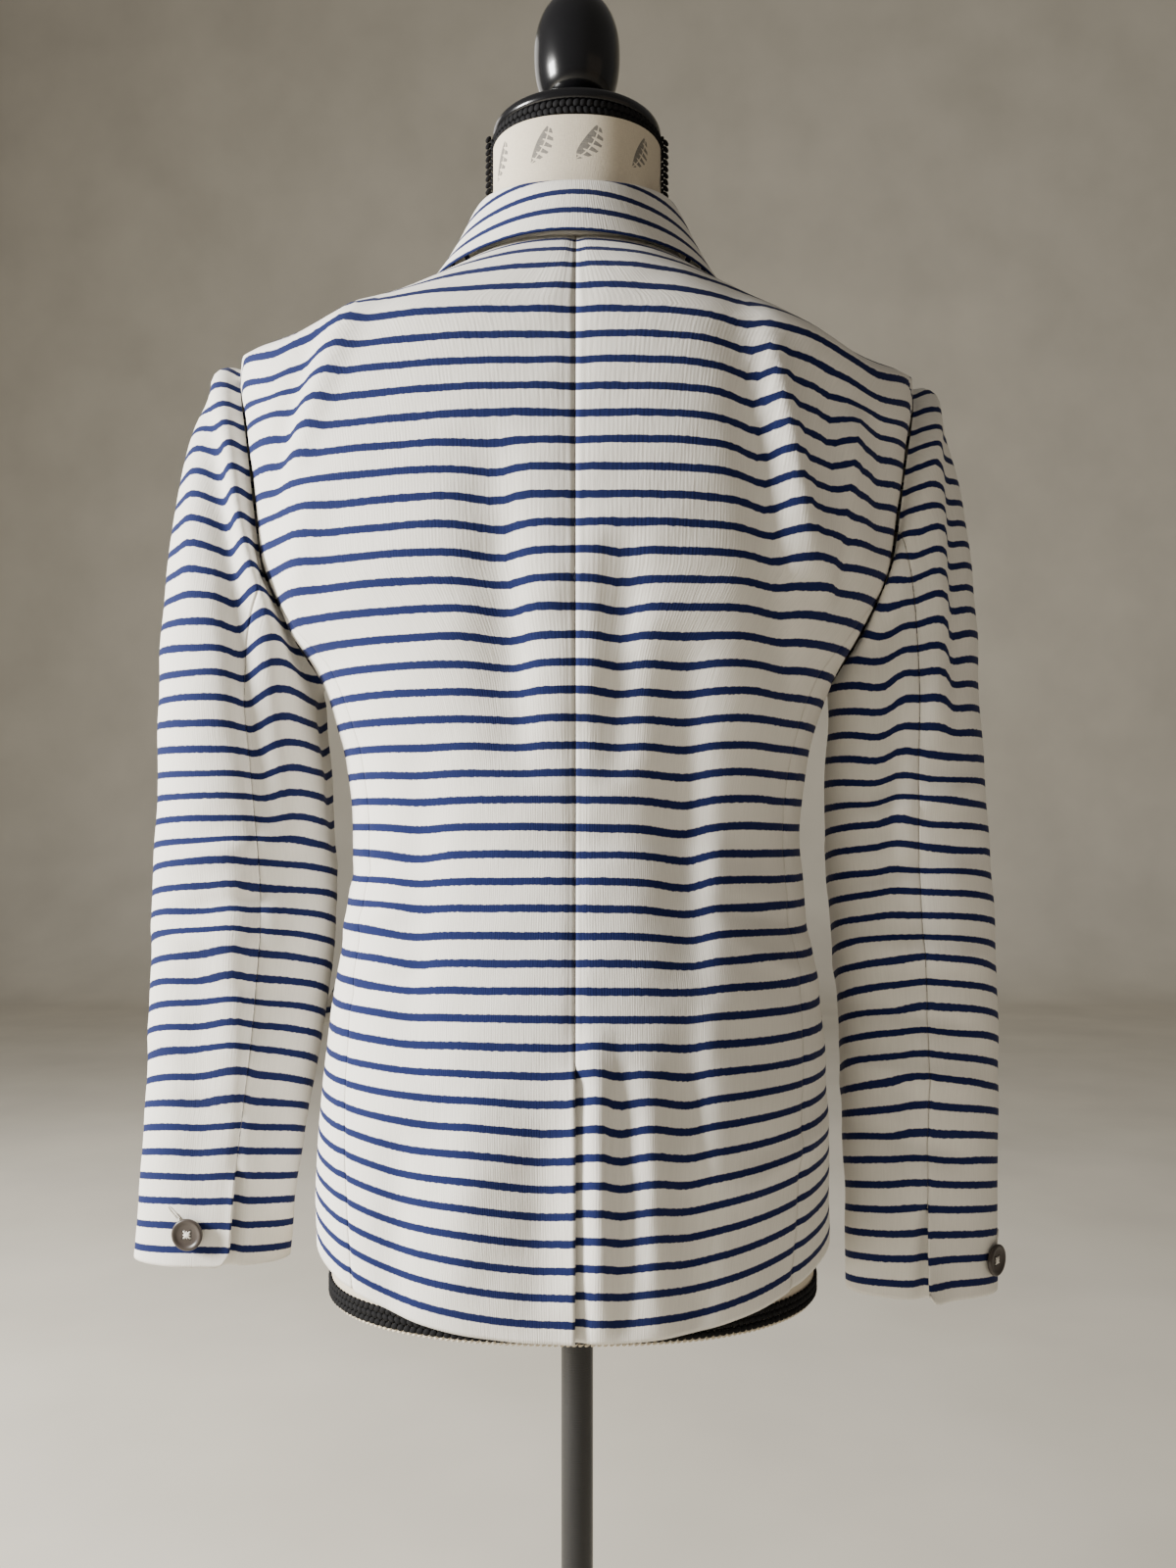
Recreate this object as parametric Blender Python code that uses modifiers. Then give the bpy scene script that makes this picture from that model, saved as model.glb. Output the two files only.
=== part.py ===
"""Striped knit blazer on a limbless dress form.

Metres, +Z up. The origin is the middle of the base's underside. The garment's front faces -Y,
so the wearer's left is +X. Body panels are cut from one worn surface, given by a table of sections;
sleeves are lofted from the armholes to the cuffs.
"""
import math

import bmesh
import bpy
import numpy as np
from mathutils import Vector

# Cloth
WALL = 0.0017
SEAM = 0.0003
LAP_GAP = 0.0006
LAPEL_CLEAR = 0.0007

# Heights above the floor
HEM_BACK_Z = 0.4235
HEM_SIDE_RISE = 0.030
VENT_TOP_Z = 0.572
BREAK_Z = 0.75
ARM_LOW_Z = 0.79
SIDE_TOP_Z = 0.844
SHOULDER_Z = 0.990
RIGHT_SHOULDER_DROP = 0.012
RIGHT_HIP_INSET = 0.005
LAPEL_TOP_Z = 0.975

# Armhole oval
ARM_HALF_DEPTH = 0.045
ARM_EASE = 0.0014

# Laps
VENT_UNDERLAP = 0.035
FRONT_LAP = 0.024
CUFF_UNDERLAP = 0.014
CUFF_DIP = 1.8
VENT_DIP = 1.3
CUFF_VENT = 0.062
SLEEVE_SEAM = 0.0006

# Dress form
NECK_TOP_Z = 1.1225
FORM_BOTTOM_Z = 0.420
BAND_HEIGHT = 0.012
BAND_WALL = 0.0025
POLE_RADIUS = 0.010
BASE_RADIUS = 0.150
BASE_HEIGHT = 0.022

BUTTON_RADIUS = 0.010
BUTTON_HEIGHT = 0.0035
BUTTON_CLEAR = 0.0022
CUFF_BUTTON_RISE = 0.022
CUFF_BUTTON_LEFT = 100.0
CUFF_BUTTON_RIGHT = 150.0

# Worn sections: height, half width, depth to the back, depth to the front
SECTIONS = (
    ("z", "half_width", "back", "front"),
    (0.410, 0.160, 0.114, 0.120),
    (0.470, 0.161, 0.119, 0.125),
    (0.530, 0.158, 0.122, 0.127),
    (0.600, 0.150, 0.117, 0.120),
    (0.660, 0.141, 0.107, 0.112),
    (0.700, 0.138, 0.102, 0.110),
    (0.740, 0.142, 0.106, 0.120),
    (0.790, 0.157, 0.115, 0.137),
    (0.820, 0.176, 0.118, 0.140),
    (0.863, 0.196, 0.121, 0.138),
    (0.935, 0.205, 0.116, 0.118),
    (0.975, 0.2075, 0.110, 0.096),
    (0.990, 0.207, 0.107, 0.086),
    (1.002, 0.165, 0.1035, 0.078),
    (1.014, 0.125, 0.099, 0.072),
    (1.026, 0.095, 0.091, 0.067),
    (1.042, 0.070, 0.073, 0.060),
)
ROUNDNESS = 2.3

# Side back seam: height, angle from the centre back in degrees
SIDE_BACK_SEAM = (
    ("z", "degrees"),
    (0.410, 50.0),
    (0.500, 54.0),
    (0.560, 57.0),
    (0.630, 60.0),
    (0.720, 60.0),
    (0.780, 62.0),
)
SIDE_FRONT_DEGREES = 118.0

# Edge of the front above the break: height, distance from the centre front
ROLL_LINE = (
    ("z", "across"),
    (0.750, 0.001),
    (0.800, 0.012),
    (0.850, 0.024),
    (0.930, 0.044),
    (0.990, 0.058),
    (1.042, 0.067),
)

# Hanging folds: place across (+X is the wearer's left), lowest and highest point, lean of the top
# across, half width, and depth (a trough is negative)
FOLDS = (
    ("x", "low", "high", "lean", "half_width", "depth"),
    (0.034, 0.735, 0.915, 0.010, 0.016, -0.0035),
    (-0.022, 0.735, 0.855, -0.004, 0.012, -0.0025),
    (-0.064, 0.615, 0.800, 0.004, 0.018, -0.0035),
    (-0.122, 0.850, 0.985, 0.020, 0.011, 0.0035),
    (-0.150, 0.840, 0.965, 0.002, 0.010, 0.0035),
    (0.140, 0.880, 0.985, 0.010, 0.012, 0.0030),
    (-0.018, 0.420, 0.560, 0.006, 0.012, 0.0030),
    (-0.048, 0.420, 0.545, 0.004, 0.012, 0.0030),
    (0.070, 0.420, 0.560, -0.006, 0.020, 0.0025),
)

# Heights of the rows that every body panel shares
ROWS = (0.410, 0.450, 0.495, 0.535, 0.572, 0.605, 0.650, 0.700, 0.745, 0.790, 0.820, 0.844,
        0.870, 0.900, 0.930, 0.950, 0.968, 0.981, 0.990, 1.002, 1.014, 1.026, 1.042)
BACK_COLUMNS = 9
SIDE_COLUMNS = 4
FRONT_COLUMNS = 8

# Sleeves: height, centre across, centre in depth, half sizes
SLEEVE_LEFT = (
    ("z", "centre_x", "centre_y", "half_x", "half_y"),
    (0.775, 0.2115, -0.001, 0.0485, 0.056),
    (0.720, 0.2095, -0.002, 0.0520, 0.050),
    (0.660, 0.2090, -0.004, 0.0570, 0.043),
    (0.600, 0.2135, -0.008, 0.0555, 0.040),
    (0.540, 0.2210, -0.013, 0.0525, 0.036),
    (0.480, 0.2295, -0.018, 0.0500, 0.030),
    (0.429, 0.2345, -0.020, 0.0500, 0.026),
)
SLEEVE_RIGHT = (
    ("z", "centre_x", "centre_y", "half_x", "half_y"),
    (0.775, 0.2040, -0.001, 0.0460, 0.056),
    (0.720, 0.2055, -0.002, 0.0497, 0.050),
    (0.660, 0.2095, -0.004, 0.0510, 0.044),
    (0.600, 0.2148, -0.008, 0.0497, 0.041),
    (0.540, 0.2205, -0.012, 0.0495, 0.037),
    (0.475, 0.2245, -0.016, 0.0485, 0.031),
    (0.409, 0.2255, -0.019, 0.0485, 0.027),
)
CAP_RINGS = 5
TUBE_RINGS = 12
UPPER_COLUMNS = 9
UNDER_COLUMNS = 6
FRONT_SLEEVE_SEAM = -62.0
BACK_SLEEVE_SEAM_LEFT = 70.0
BACK_SLEEVE_SEAM_RIGHT = 86.0

# Dress form sections, as the worn ones
FORM_SECTIONS = (
    ("z", "half_width", "back", "front"),
    (0.420, 0.1510, 0.1040, 0.109),
    (0.470, 0.1525, 0.1095, 0.115),
    (0.530, 0.1490, 0.1125, 0.117),
    (0.600, 0.1410, 0.1080, 0.110),
    (0.700, 0.1290, 0.0930, 0.099),
    (0.790, 0.1430, 0.1060, 0.124),
    (0.840, 0.1460, 0.1100, 0.127),
    (0.890, 0.1500, 0.1110, 0.121),
    (0.940, 0.1580, 0.1060, 0.104),
    (0.972, 0.1640, 0.0990, 0.088),
    (0.990, 0.1600, 0.0950, 0.079),
    (1.0043, 0.1480, 0.0910, 0.072),
    (1.0126, 0.1215, 0.0850, 0.066),
    (1.0248, 0.0915, 0.0760, 0.060),
    (1.0380, 0.0660, 0.0640, 0.053),
    (1.0500, 0.0540, 0.0540, 0.052),
    (1.0700, 0.0526, 0.0526, 0.0526),
    (1.1220, 0.0526, 0.0526, 0.0526),
)
FORM_COLUMNS = 32

CREAM = (0.80, 0.76, 0.68, 1.0)
LINEN = (0.78, 0.71, 0.58, 1.0)
BROWN = (0.09, 0.07, 0.06, 1.0)
BLACK = (0.01, 0.01, 0.01, 1.0)


def column(table, name):
    """One named column of a table, as an array."""
    place = table[0].index(name)
    return np.array([row[place] for row in table[1:]])


def smooth_read(xs, ys, x):
    """Read a table at x by a smooth curve that never overshoots."""
    if xs[0] > xs[-1]:
        xs, ys = xs[::-1], ys[::-1]
    steps = np.diff(xs)
    slopes = np.diff(ys) / steps
    tangents = np.zeros(len(xs))
    tangents[0], tangents[-1] = slopes[0], slopes[-1]
    for i in range(1, len(xs) - 1):
        if slopes[i - 1] * slopes[i] > 0.0:
            tangents[i] = 2.0 * slopes[i - 1] * slopes[i] / (slopes[i - 1] + slopes[i])
    x = min(max(x, xs[0]), xs[-1])
    i = min(int(np.searchsorted(xs, x, side="right")) - 1, len(xs) - 2)
    t = (x - xs[i]) / steps[i]
    return float((2 * t ** 3 - 3 * t ** 2 + 1) * ys[i] + (t ** 3 - 2 * t ** 2 + t) * steps[i] * tangents[i]
                 + (3 * t ** 2 - 2 * t ** 3) * ys[i + 1] + (t ** 3 - t ** 2) * steps[i] * tangents[i + 1])


def read(table, name, z):
    """Read one named column of a table at a height."""
    return smooth_read(column(table, "z"), column(table, name), z)


def power(value, exponent):
    """A signed power."""
    return math.copysign(abs(value) ** exponent, value)


def ring_point(table, degrees, z):
    """A point of a section at an angle from the centre back, +X positive."""
    angle = math.radians(degrees)
    sine, cosine = math.sin(angle), math.cos(angle)
    depth = read(table, "back" if cosine > 0.0 else "front", z)
    return np.array([read(table, "half_width", z) * power(sine, 2.0 / ROUNDNESS),
                     depth * power(cosine, 2.0 / ROUNDNESS), z])


def fold_height(x, z):
    """How far the hanging folds move the cloth out at a place on the back."""
    total = 0.0
    names = FOLDS[0]
    for row in FOLDS[1:]:
        fold = dict(zip(names, row))
        share = (z - fold["low"]) / (fold["high"] - fold["low"])
        if not 0.0 < share < 1.0:
            continue
        across = (x - fold["x"] - fold["lean"] * share) / fold["half_width"]
        total += fold["depth"] * math.sin(math.pi * share) ** 0.7 * math.exp(-across * across)
    return total


def body_point(degrees, z, out=0.0):
    """A point of the worn surface, moved out by a distance along its normal."""
    here = ring_point(SECTIONS, degrees, z)
    step = 0.6
    along = ring_point(SECTIONS, degrees + step, z) - ring_point(SECTIONS, degrees - step, z)
    up = ring_point(SECTIONS, degrees, z + 0.002) - ring_point(SECTIONS, degrees, z - 0.002)
    normal = np.cross(up, along)
    length = np.linalg.norm(normal)
    normal = normal / length if length > 1e-12 else np.array([0.0, 0.0, 1.0])
    if np.dot(normal[:2], here[:2]) < 0.0:
        normal = -normal
    folds = fold_height(here[0], z) if here[1] > 0.0 else 0.0
    return here + normal * (folds + out)


def angle_of(distance, degrees, z):
    """The angle that a distance takes up along a section."""
    step = 1.0
    reach = np.linalg.norm(ring_point(SECTIONS, degrees + step, z) - ring_point(SECTIONS, degrees, z))
    return distance / max(reach, 1e-6) * step


def hem_height(degrees, z):
    """Rows near the hem rise at the sides."""
    side = math.sin(math.radians(degrees)) ** 2
    hem = HEM_BACK_Z + HEM_SIDE_RISE * side
    if z >= VENT_TOP_Z:
        return z
    return hem + (z - ROWS[0]) / (VENT_TOP_Z - ROWS[0]) * (VENT_TOP_Z - hem)


def armhole_angle(z, front):
    """Angle of the armhole's edge at a height, from the centre back."""
    middle = (ARM_LOW_Z + SHOULDER_Z) / 2.0
    half = (SHOULDER_Z - ARM_LOW_Z) / 2.0
    share = min(abs(z - middle) / half, 1.0)
    half_depth = ARM_HALF_DEPTH * math.sqrt(1.0 - share * share)
    depth = read(SECTIONS, "front" if front else "back", z)
    back_angle = math.degrees(math.acos(min((half_depth / depth) ** (ROUNDNESS / 2.0), 1.0)))
    return 180.0 - back_angle if front else back_angle


def side_back_angle(z):
    """The side back seam, which runs into the armhole."""
    if z >= SIDE_TOP_Z:
        return armhole_angle(z, False) if z < SHOULDER_Z else 90.0
    zs = np.append(column(SIDE_BACK_SEAM, "z"), SIDE_TOP_Z)
    angles = np.append(column(SIDE_BACK_SEAM, "degrees"), armhole_angle(SIDE_TOP_Z, False))
    return smooth_read(zs, angles, z)


def side_front_angle(z):
    """The side front seam, which runs into the armhole."""
    if z >= SIDE_TOP_Z:
        return armhole_angle(z, True) if z < SHOULDER_Z else 90.0
    zs = np.array([ROWS[0], 0.780, SIDE_TOP_Z])
    angles = np.array([SIDE_FRONT_DEGREES, SIDE_FRONT_DEGREES - 2.0, armhole_angle(SIDE_TOP_Z, True)])
    return smooth_read(zs, angles, z)


def roll_angle(z):
    """The front's free edge above the break, and the centre front below it."""
    if z < BREAK_Z:
        return 180.0
    share = min(read(ROLL_LINE, "across", z) / read(SECTIONS, "half_width", z), 1.0)
    return 180.0 - math.degrees(math.asin(share ** (ROUNDNESS / 2.0)))


def soft_step(share):
    """A smooth step from 0 to 1."""
    share = min(max(share, 0.0), 1.0)
    return share * share * (3.0 - 2.0 * share)


def settle(point):
    """The wearer's right shoulder sits lower than the left one, and the right hip closer in."""
    across = soft_step((-point[0] - 0.05) / 0.14)
    up = soft_step((point[2] - 0.82) / 0.15)
    hip = soft_step((-point[0] - 0.04) / 0.10) * soft_step((0.62 - point[2]) / 0.14)
    return np.array([point[0] + RIGHT_HIP_INSET * hip, point[1],
                     point[2] - RIGHT_SHOULDER_DROP * across * up])


def material(name, colour, roughness):
    """A plain Principled material."""
    finish = bpy.data.materials.new(name)
    finish.use_nodes = True
    shader = finish.node_tree.nodes["Principled BSDF"]
    shader.inputs["Base Color"].default_value = colour
    shader.inputs["Roughness"].default_value = roughness
    shader.inputs["Metallic"].default_value = 0.0
    finish.diffuse_color = colour
    return finish


def add_object(name, mesh, finish):
    """Link a mesh as a named part."""
    piece = bpy.data.objects.new(name, mesh)
    bpy.data.collections["knit_blazer"].objects.link(piece)
    mesh.materials.append(finish)
    mesh.shade_smooth()
    return piece


def sheet_mesh(name, grid, outward):
    """An open surface through a grid of points; None leaves a place empty."""
    shape = bmesh.new()
    corners = [[shape.verts.new(settle(point)) if point is not None else None for point in row]
               for row in grid]
    width = len(grid[0])
    for i in range(len(grid) - 1):
        for j in range(width - 1):
            quad = (corners[i][j], corners[i][j + 1], corners[i + 1][j + 1], corners[i + 1][j])
            if all(corner is not None for corner in quad):
                shape.faces.new(quad)
    shape.normal_update()
    if sum(face.normal.dot(outward(face.calc_center_median())) for face in shape.faces) < 0.0:
        bmesh.ops.reverse_faces(shape, faces=shape.faces)
    mesh = bpy.data.meshes.new(name)
    shape.to_mesh(mesh)
    shape.free()
    return mesh


def cloth(name, grid, finish, outward, thickness=WALL):
    """A cloth piece: an open surface with its wall turned inward."""
    piece = add_object(name, sheet_mesh(name, grid, outward), finish)
    wall = piece.modifiers.new("Wall", "SOLIDIFY")
    wall.thickness = thickness
    wall.offset = -1.0
    return piece


def from_axis(point):
    """Direction from the body's middle line."""
    return type(point)((point[0], point[1], 0.02))


def back_panel(side, finish):
    """One half of the back; the right half carries the vent's underlap."""
    grid = []
    for z in ROWS:
        edge = side_back_angle(z)
        edge -= angle_of(SEAM, edge - 1.0, z)
        middle = angle_of(SEAM, 0.0, z)
        row = []
        if side < 0:
            for reach in (VENT_UNDERLAP, VENT_UNDERLAP * 0.45):
                inside = z <= VENT_TOP_Z
                lap = -angle_of(reach, 0.0, z)
                row.append(worn_point(side, lap, z, -(WALL + LAP_GAP) * VENT_DIP) if inside else None)
        for j in range(BACK_COLUMNS + 1):
            degrees = middle + (edge - middle) * j / BACK_COLUMNS
            dip = (WALL + LAP_GAP) * VENT_DIP if side < 0 and j == 0 and z <= VENT_TOP_Z else 0.0
            row.append(worn_point(side, degrees, z, -dip))
        grid.append(row)
    return cloth("back_left" if side > 0 else "back_right", grid, finish, from_axis)


def worn_point(side, degrees, z, out=0.0):
    """A point of the body on one side; a negative angle crosses the centre back."""
    return body_point(side * degrees, hem_height(degrees, z), out)


def side_panel(side, finish):
    """The panel under the arm, whose top is the armhole's low curve."""
    start = ROWS.index(0.745)
    rows = [z for z in ROWS if z <= SIDE_TOP_Z]
    grid = []
    for z in rows:
        row = []
        for j in range(SIDE_COLUMNS + 1):
            share = j / SIDE_COLUMNS
            low = ARM_LOW_Z - 0.003
            top = low + (SIDE_TOP_Z - low) * abs(2.0 * share - 1.0) ** 2.2
            height = z if z <= ROWS[start] else ROWS[start] + (z - ROWS[start]) * (
                (top - ROWS[start]) / (SIDE_TOP_Z - ROWS[start]))
            back, front = side_back_angle(height), side_front_angle(height)
            back += angle_of(SEAM, back, height)
            front -= angle_of(SEAM, front - 1.0, height)
            row.append(worn_point(side, back + (front - back) * share, height))
        grid.append(row)
    return cloth("side_left" if side > 0 else "side_right", grid, finish, from_axis)


def front_panel(side, finish):
    """One front; the left one passes under the right one below the break."""
    grid = []
    for z in ROWS:
        edge = side_front_angle(z)
        edge += angle_of(SEAM, edge, z)
        last = roll_angle(z)
        row = []
        for j in range(FRONT_COLUMNS + 1):
            degrees = edge + (last - edge) * j / FRONT_COLUMNS
            out = 0.0
            if z < BREAK_Z and j >= FRONT_COLUMNS - 1:
                lap = angle_of(FRONT_LAP / 2.0, 178.0, z)
                degrees = 180.0 - lap if j == FRONT_COLUMNS - 1 else 180.0 + lap
                out = -(WALL + LAP_GAP) if side > 0 else 0.0012
            elif z < BREAK_Z + 0.05 and j == FRONT_COLUMNS and side > 0:
                out = -(WALL + LAP_GAP)
            row.append(worn_point(side, degrees, z, out))
        grid.append(row)
    return cloth("front_left" if side > 0 else "front_right", grid, finish, from_axis)


def lapel(side, finish):
    """The front's folded top, lying on the front along the roll line."""
    grid = []
    heights = [z for z in ROWS if BREAK_Z < z < LAPEL_TOP_Z]
    for i, z in enumerate(heights):
        width = 0.008 + 0.062 * (i / (len(heights) - 1)) ** 0.8
        edge = roll_angle(z)
        row = []
        for j in range(4):
            degrees = edge - angle_of(width, edge - 6.0, z) * j / 3.0
            row.append(worn_point(side, degrees, z, WALL + LAPEL_CLEAR))
        grid.append(row)
    return cloth("lapel_left" if side > 0 else "lapel_right", grid, finish, from_axis)


def flap(side, finish):
    """A pocket flap lying on the front and side panels at the hip."""
    grid = []
    for i, drop in enumerate((0.0, 0.024, 0.048)):
        row = []
        for j in range(6):
            degrees = 96.0 + (140.0 - 96.0) * j / 5.0
            flare = 0.0006 + 0.004 * (i / 2.0) * (1.0 - j / 5.0)
            row.append(worn_point(side, degrees, 0.622 - drop, WALL + SEAM + flare))
        grid.append(row)
    return cloth("flap_left" if side > 0 else "flap_right", grid, finish, from_axis)


def armhole_point(degrees):
    """A point of the armhole; 0 is the armpit, 90 the back, 180 the shoulder."""
    angle = math.radians(degrees)
    middle = (ARM_LOW_Z + SHOULDER_Z) / 2.0
    half = (SHOULDER_Z - ARM_LOW_Z) / 2.0 - ARM_EASE
    z = middle - half * math.cos(angle)
    y = (ARM_HALF_DEPTH - ARM_EASE) * math.sin(angle)
    depth = read(SECTIONS, "back" if y > 0.0 else "front", z)
    x = read(SECTIONS, "half_width", z) * (1.0 - (abs(y) / depth) ** ROUNDNESS) ** (1.0 / ROUNDNESS)
    return np.array([x + 0.0008, y, z])


def tube_point(table, degrees, z, out=0.0):
    """A point of the sleeve below the armhole, on the wearer's left."""
    angle = math.radians(degrees)
    return np.array([
        read(table, "centre_x", z) - (read(table, "half_x", z) + out) * math.cos(angle),
        read(table, "centre_y", z) + (read(table, "half_y", z) + out) * math.sin(angle), z])


def cap_point(table, degrees, share):
    """A point between the armhole and the top of the tube, on a rounded cap."""
    start = armhole_point(degrees)
    end = tube_point(table, degrees, table[1][0])
    bend = np.array([end[0] * 0.9 + start[0] * 0.1, (start[1] + end[1]) / 2.0,
                     start[2] * 0.93 + end[2] * 0.07])
    return start * (1 - share) ** 2 + bend * 2 * share * (1 - share) + end * share ** 2


def sleeve_rows(table):
    """Rows of a sleeve: a share of the cap, or a height of the tube."""
    top, low = table[1][0], table[-1][0]
    vent = low + CUFF_VENT
    caps = [("cap", i / CAP_RINGS) for i in range(CAP_RINGS)]
    count = TUBE_RINGS - 3
    tubes = [("tube", top + (vent - top) * i / count) for i in range(count + 1)]
    vents = [("tube", vent + (low - vent) * i / 3.0) for i in (0.1, 1.0, 2.0, 3.0)]
    return caps + tubes + vents


def sleeve_panel(side, upper, finish):
    """The upper or the under sleeve; the under one has the cuff vent's underlap."""
    table = SLEEVE_LEFT if side > 0 else SLEEVE_RIGHT
    back_seam = BACK_SLEEVE_SEAM_LEFT if side > 0 else BACK_SLEEVE_SEAM_RIGHT
    vent = table[-1][0] + CUFF_VENT
    gap = math.degrees(SLEEVE_SEAM / 0.045)
    grid = []
    for kind, value in sleeve_rows(table):
        in_vent = kind == "tube" and value < vent - 0.001
        row = []
        if upper:
            first, last, count = back_seam + gap, 360.0 + FRONT_SLEEVE_SEAM - gap, UPPER_COLUMNS
        else:
            first, last, count = back_seam - gap, FRONT_SLEEVE_SEAM + gap, UNDER_COLUMNS
            for reach in (1.0, 0.4):
                lap = back_seam + math.degrees(CUFF_UNDERLAP / 0.045) * reach
                row.append(tube_point(table, lap, value, -(WALL + LAP_GAP) * CUFF_DIP) if in_vent else None)
        for j in range(count + 1):
            degrees = first + (last - first) * j / count
            if kind == "cap":
                row.append(cap_point(table, degrees, value))
                continue
            dip = (WALL + LAP_GAP) * CUFF_DIP if in_vent and not upper and j == 0 else 0.0
            row.append(tube_point(table, degrees, value, -dip))
        grid.append(row)
    if upper:
        grid[-1][0] = grid[-1][0] + np.array([0.0, 0.0, 0.008])
    grid = [[None if point is None else point * np.array([side, 1.0, 1.0]) for point in row]
            for row in grid]
    centre_x = side * 0.213

    def outward(point):
        return type(point)((point[0] - centre_x, point[1] + 0.006, 0.05 * (point[2] - 0.7)))
    name = ("sleeve_upper_" if upper else "sleeve_under_") + ("left" if side > 0 else "right")
    return cloth(name, grid, finish, outward)


def neck_ring(degrees, half_x, back, z):
    """A point of a collar ring round the neck."""
    angle = math.radians(degrees)
    past = max(abs(degrees) - 90.0, 0.0) / 50.0
    depth = back if past == 0.0 else back * (0.86 + COLLAR_SPREAD * soft_step(past / 0.55))
    return np.array([half_x * math.sin(angle), depth * math.cos(angle), z])


# Collar rings from the neck seam: half width, depth to the back, height at the back and at the side
STAND = (
    ("half_x", "back", "z_back", "z_side", "front_drop"),
    (0.0700, 0.0730, 1.0424, 1.0426, 0.0),
    (0.0625, 0.0650, 1.0580, 1.0620, 0.0),
    (0.0590, 0.0610, 1.0710, 1.0780, 0.0),
)
FALL = (
    ("half_x", "back", "z_back", "z_side", "front_drop"),
    (0.0605, 0.0625, 1.0770, 1.0850, 0.068),
    (0.0660, 0.0690, 1.0735, 1.0800, 0.066),
    (0.0740, 0.0745, 1.0640, 1.0650, 0.058),
    (0.0840, 0.0790, 1.0550, 1.0490, 0.049),
    (0.0940, 0.0825, 1.0476, 1.0370, 0.040),
)
STAND_REACH = 96.0
FALL_REACH = 138.0
COLLAR_SPREAD = 0.52
COLLAR_COLUMNS = 22


def collar_piece(name, table, reach, finish):
    """A band round the neck, lofted through a short table of rings."""
    grid = []
    for row in table[1:]:
        ring = dict(zip(table[0], row))
        points = []
        for j in range(COLLAR_COLUMNS + 1):
            degrees = reach * (2.0 * j / COLLAR_COLUMNS - 1.0)
            side = min(math.sin(math.radians(min(abs(degrees), 90.0))) ** 2, 1.0)
            past = max(abs(degrees) - 90.0, 0.0) / 50.0
            height = ring["z_back"] + (ring["z_side"] - ring["z_back"]) * side
            height -= ring["front_drop"] * past ** 1.6
            points.append(neck_ring(degrees, ring["half_x"], ring["back"], height))
        grid.append(points)
    return cloth(name, grid, finish, from_axis, WALL * 0.9)


def turned(name, profile, finish, segments=24):
    """A turned solid from a radius and height profile, top to bottom."""
    mesh = bpy.data.meshes.new(name)
    vertices = [(radius, 0.0, z) for radius, z in profile]
    edges = [(i, i + 1) for i in range(len(vertices) - 1)]
    mesh.from_pydata(vertices, edges, [])
    piece = add_object(name, mesh, finish)
    screw = piece.modifiers.new("Turn", "SCREW")
    screw.axis = "Z"
    screw.steps = segments
    screw.render_steps = segments
    screw.use_merge_vertices = True
    screw.merge_threshold = 0.0001
    return piece


def button(name, place, facing, finish):
    """A dished round button whose axis points along a direction."""
    radius, height = BUTTON_RADIUS, BUTTON_HEIGHT
    profile = ((0.0, height * 0.62), (radius * 0.62, height * 0.62), (radius * 0.78, height),
               (radius * 0.93, height), (radius, height * 0.6), (radius * 0.92, 0.0), (0.0, 0.0))
    piece = turned(name, profile, finish, 20)
    piece.location = place
    piece.rotation_euler = facing.to_track_quat("Z", "Y").to_euler()
    return piece


def closed_rings(name, rings, finish):
    """A solid through closed rings, with flat ends."""
    shape = bmesh.new()
    corners = [[shape.verts.new(settle(point)) for point in ring] for ring in rings]
    width = len(rings[0])
    for i in range(len(rings) - 1):
        for j in range(width):
            k = (j + 1) % width
            shape.faces.new((corners[i][j], corners[i][k], corners[i + 1][k], corners[i + 1][j]))
    shape.faces.new(corners[0])
    shape.faces.new(corners[-1])
    bmesh.ops.recalc_face_normals(shape, faces=shape.faces)
    mesh = bpy.data.meshes.new(name)
    shape.to_mesh(mesh)
    shape.free()
    piece = add_object(name, mesh, finish)
    mesh.set_sharp_from_angle(angle=math.radians(40.0))
    return piece


def form_ring(z, out=0.0):
    """A section of the dress form."""
    ring = []
    for j in range(FORM_COLUMNS):
        point = ring_point(FORM_SECTIONS, 360.0 * j / FORM_COLUMNS, z)
        flat = point[:2] / np.linalg.norm(point[:2])
        ring.append(np.array([point[0] + flat[0] * out, point[1] + flat[1] * out, z]))
    return ring


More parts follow.
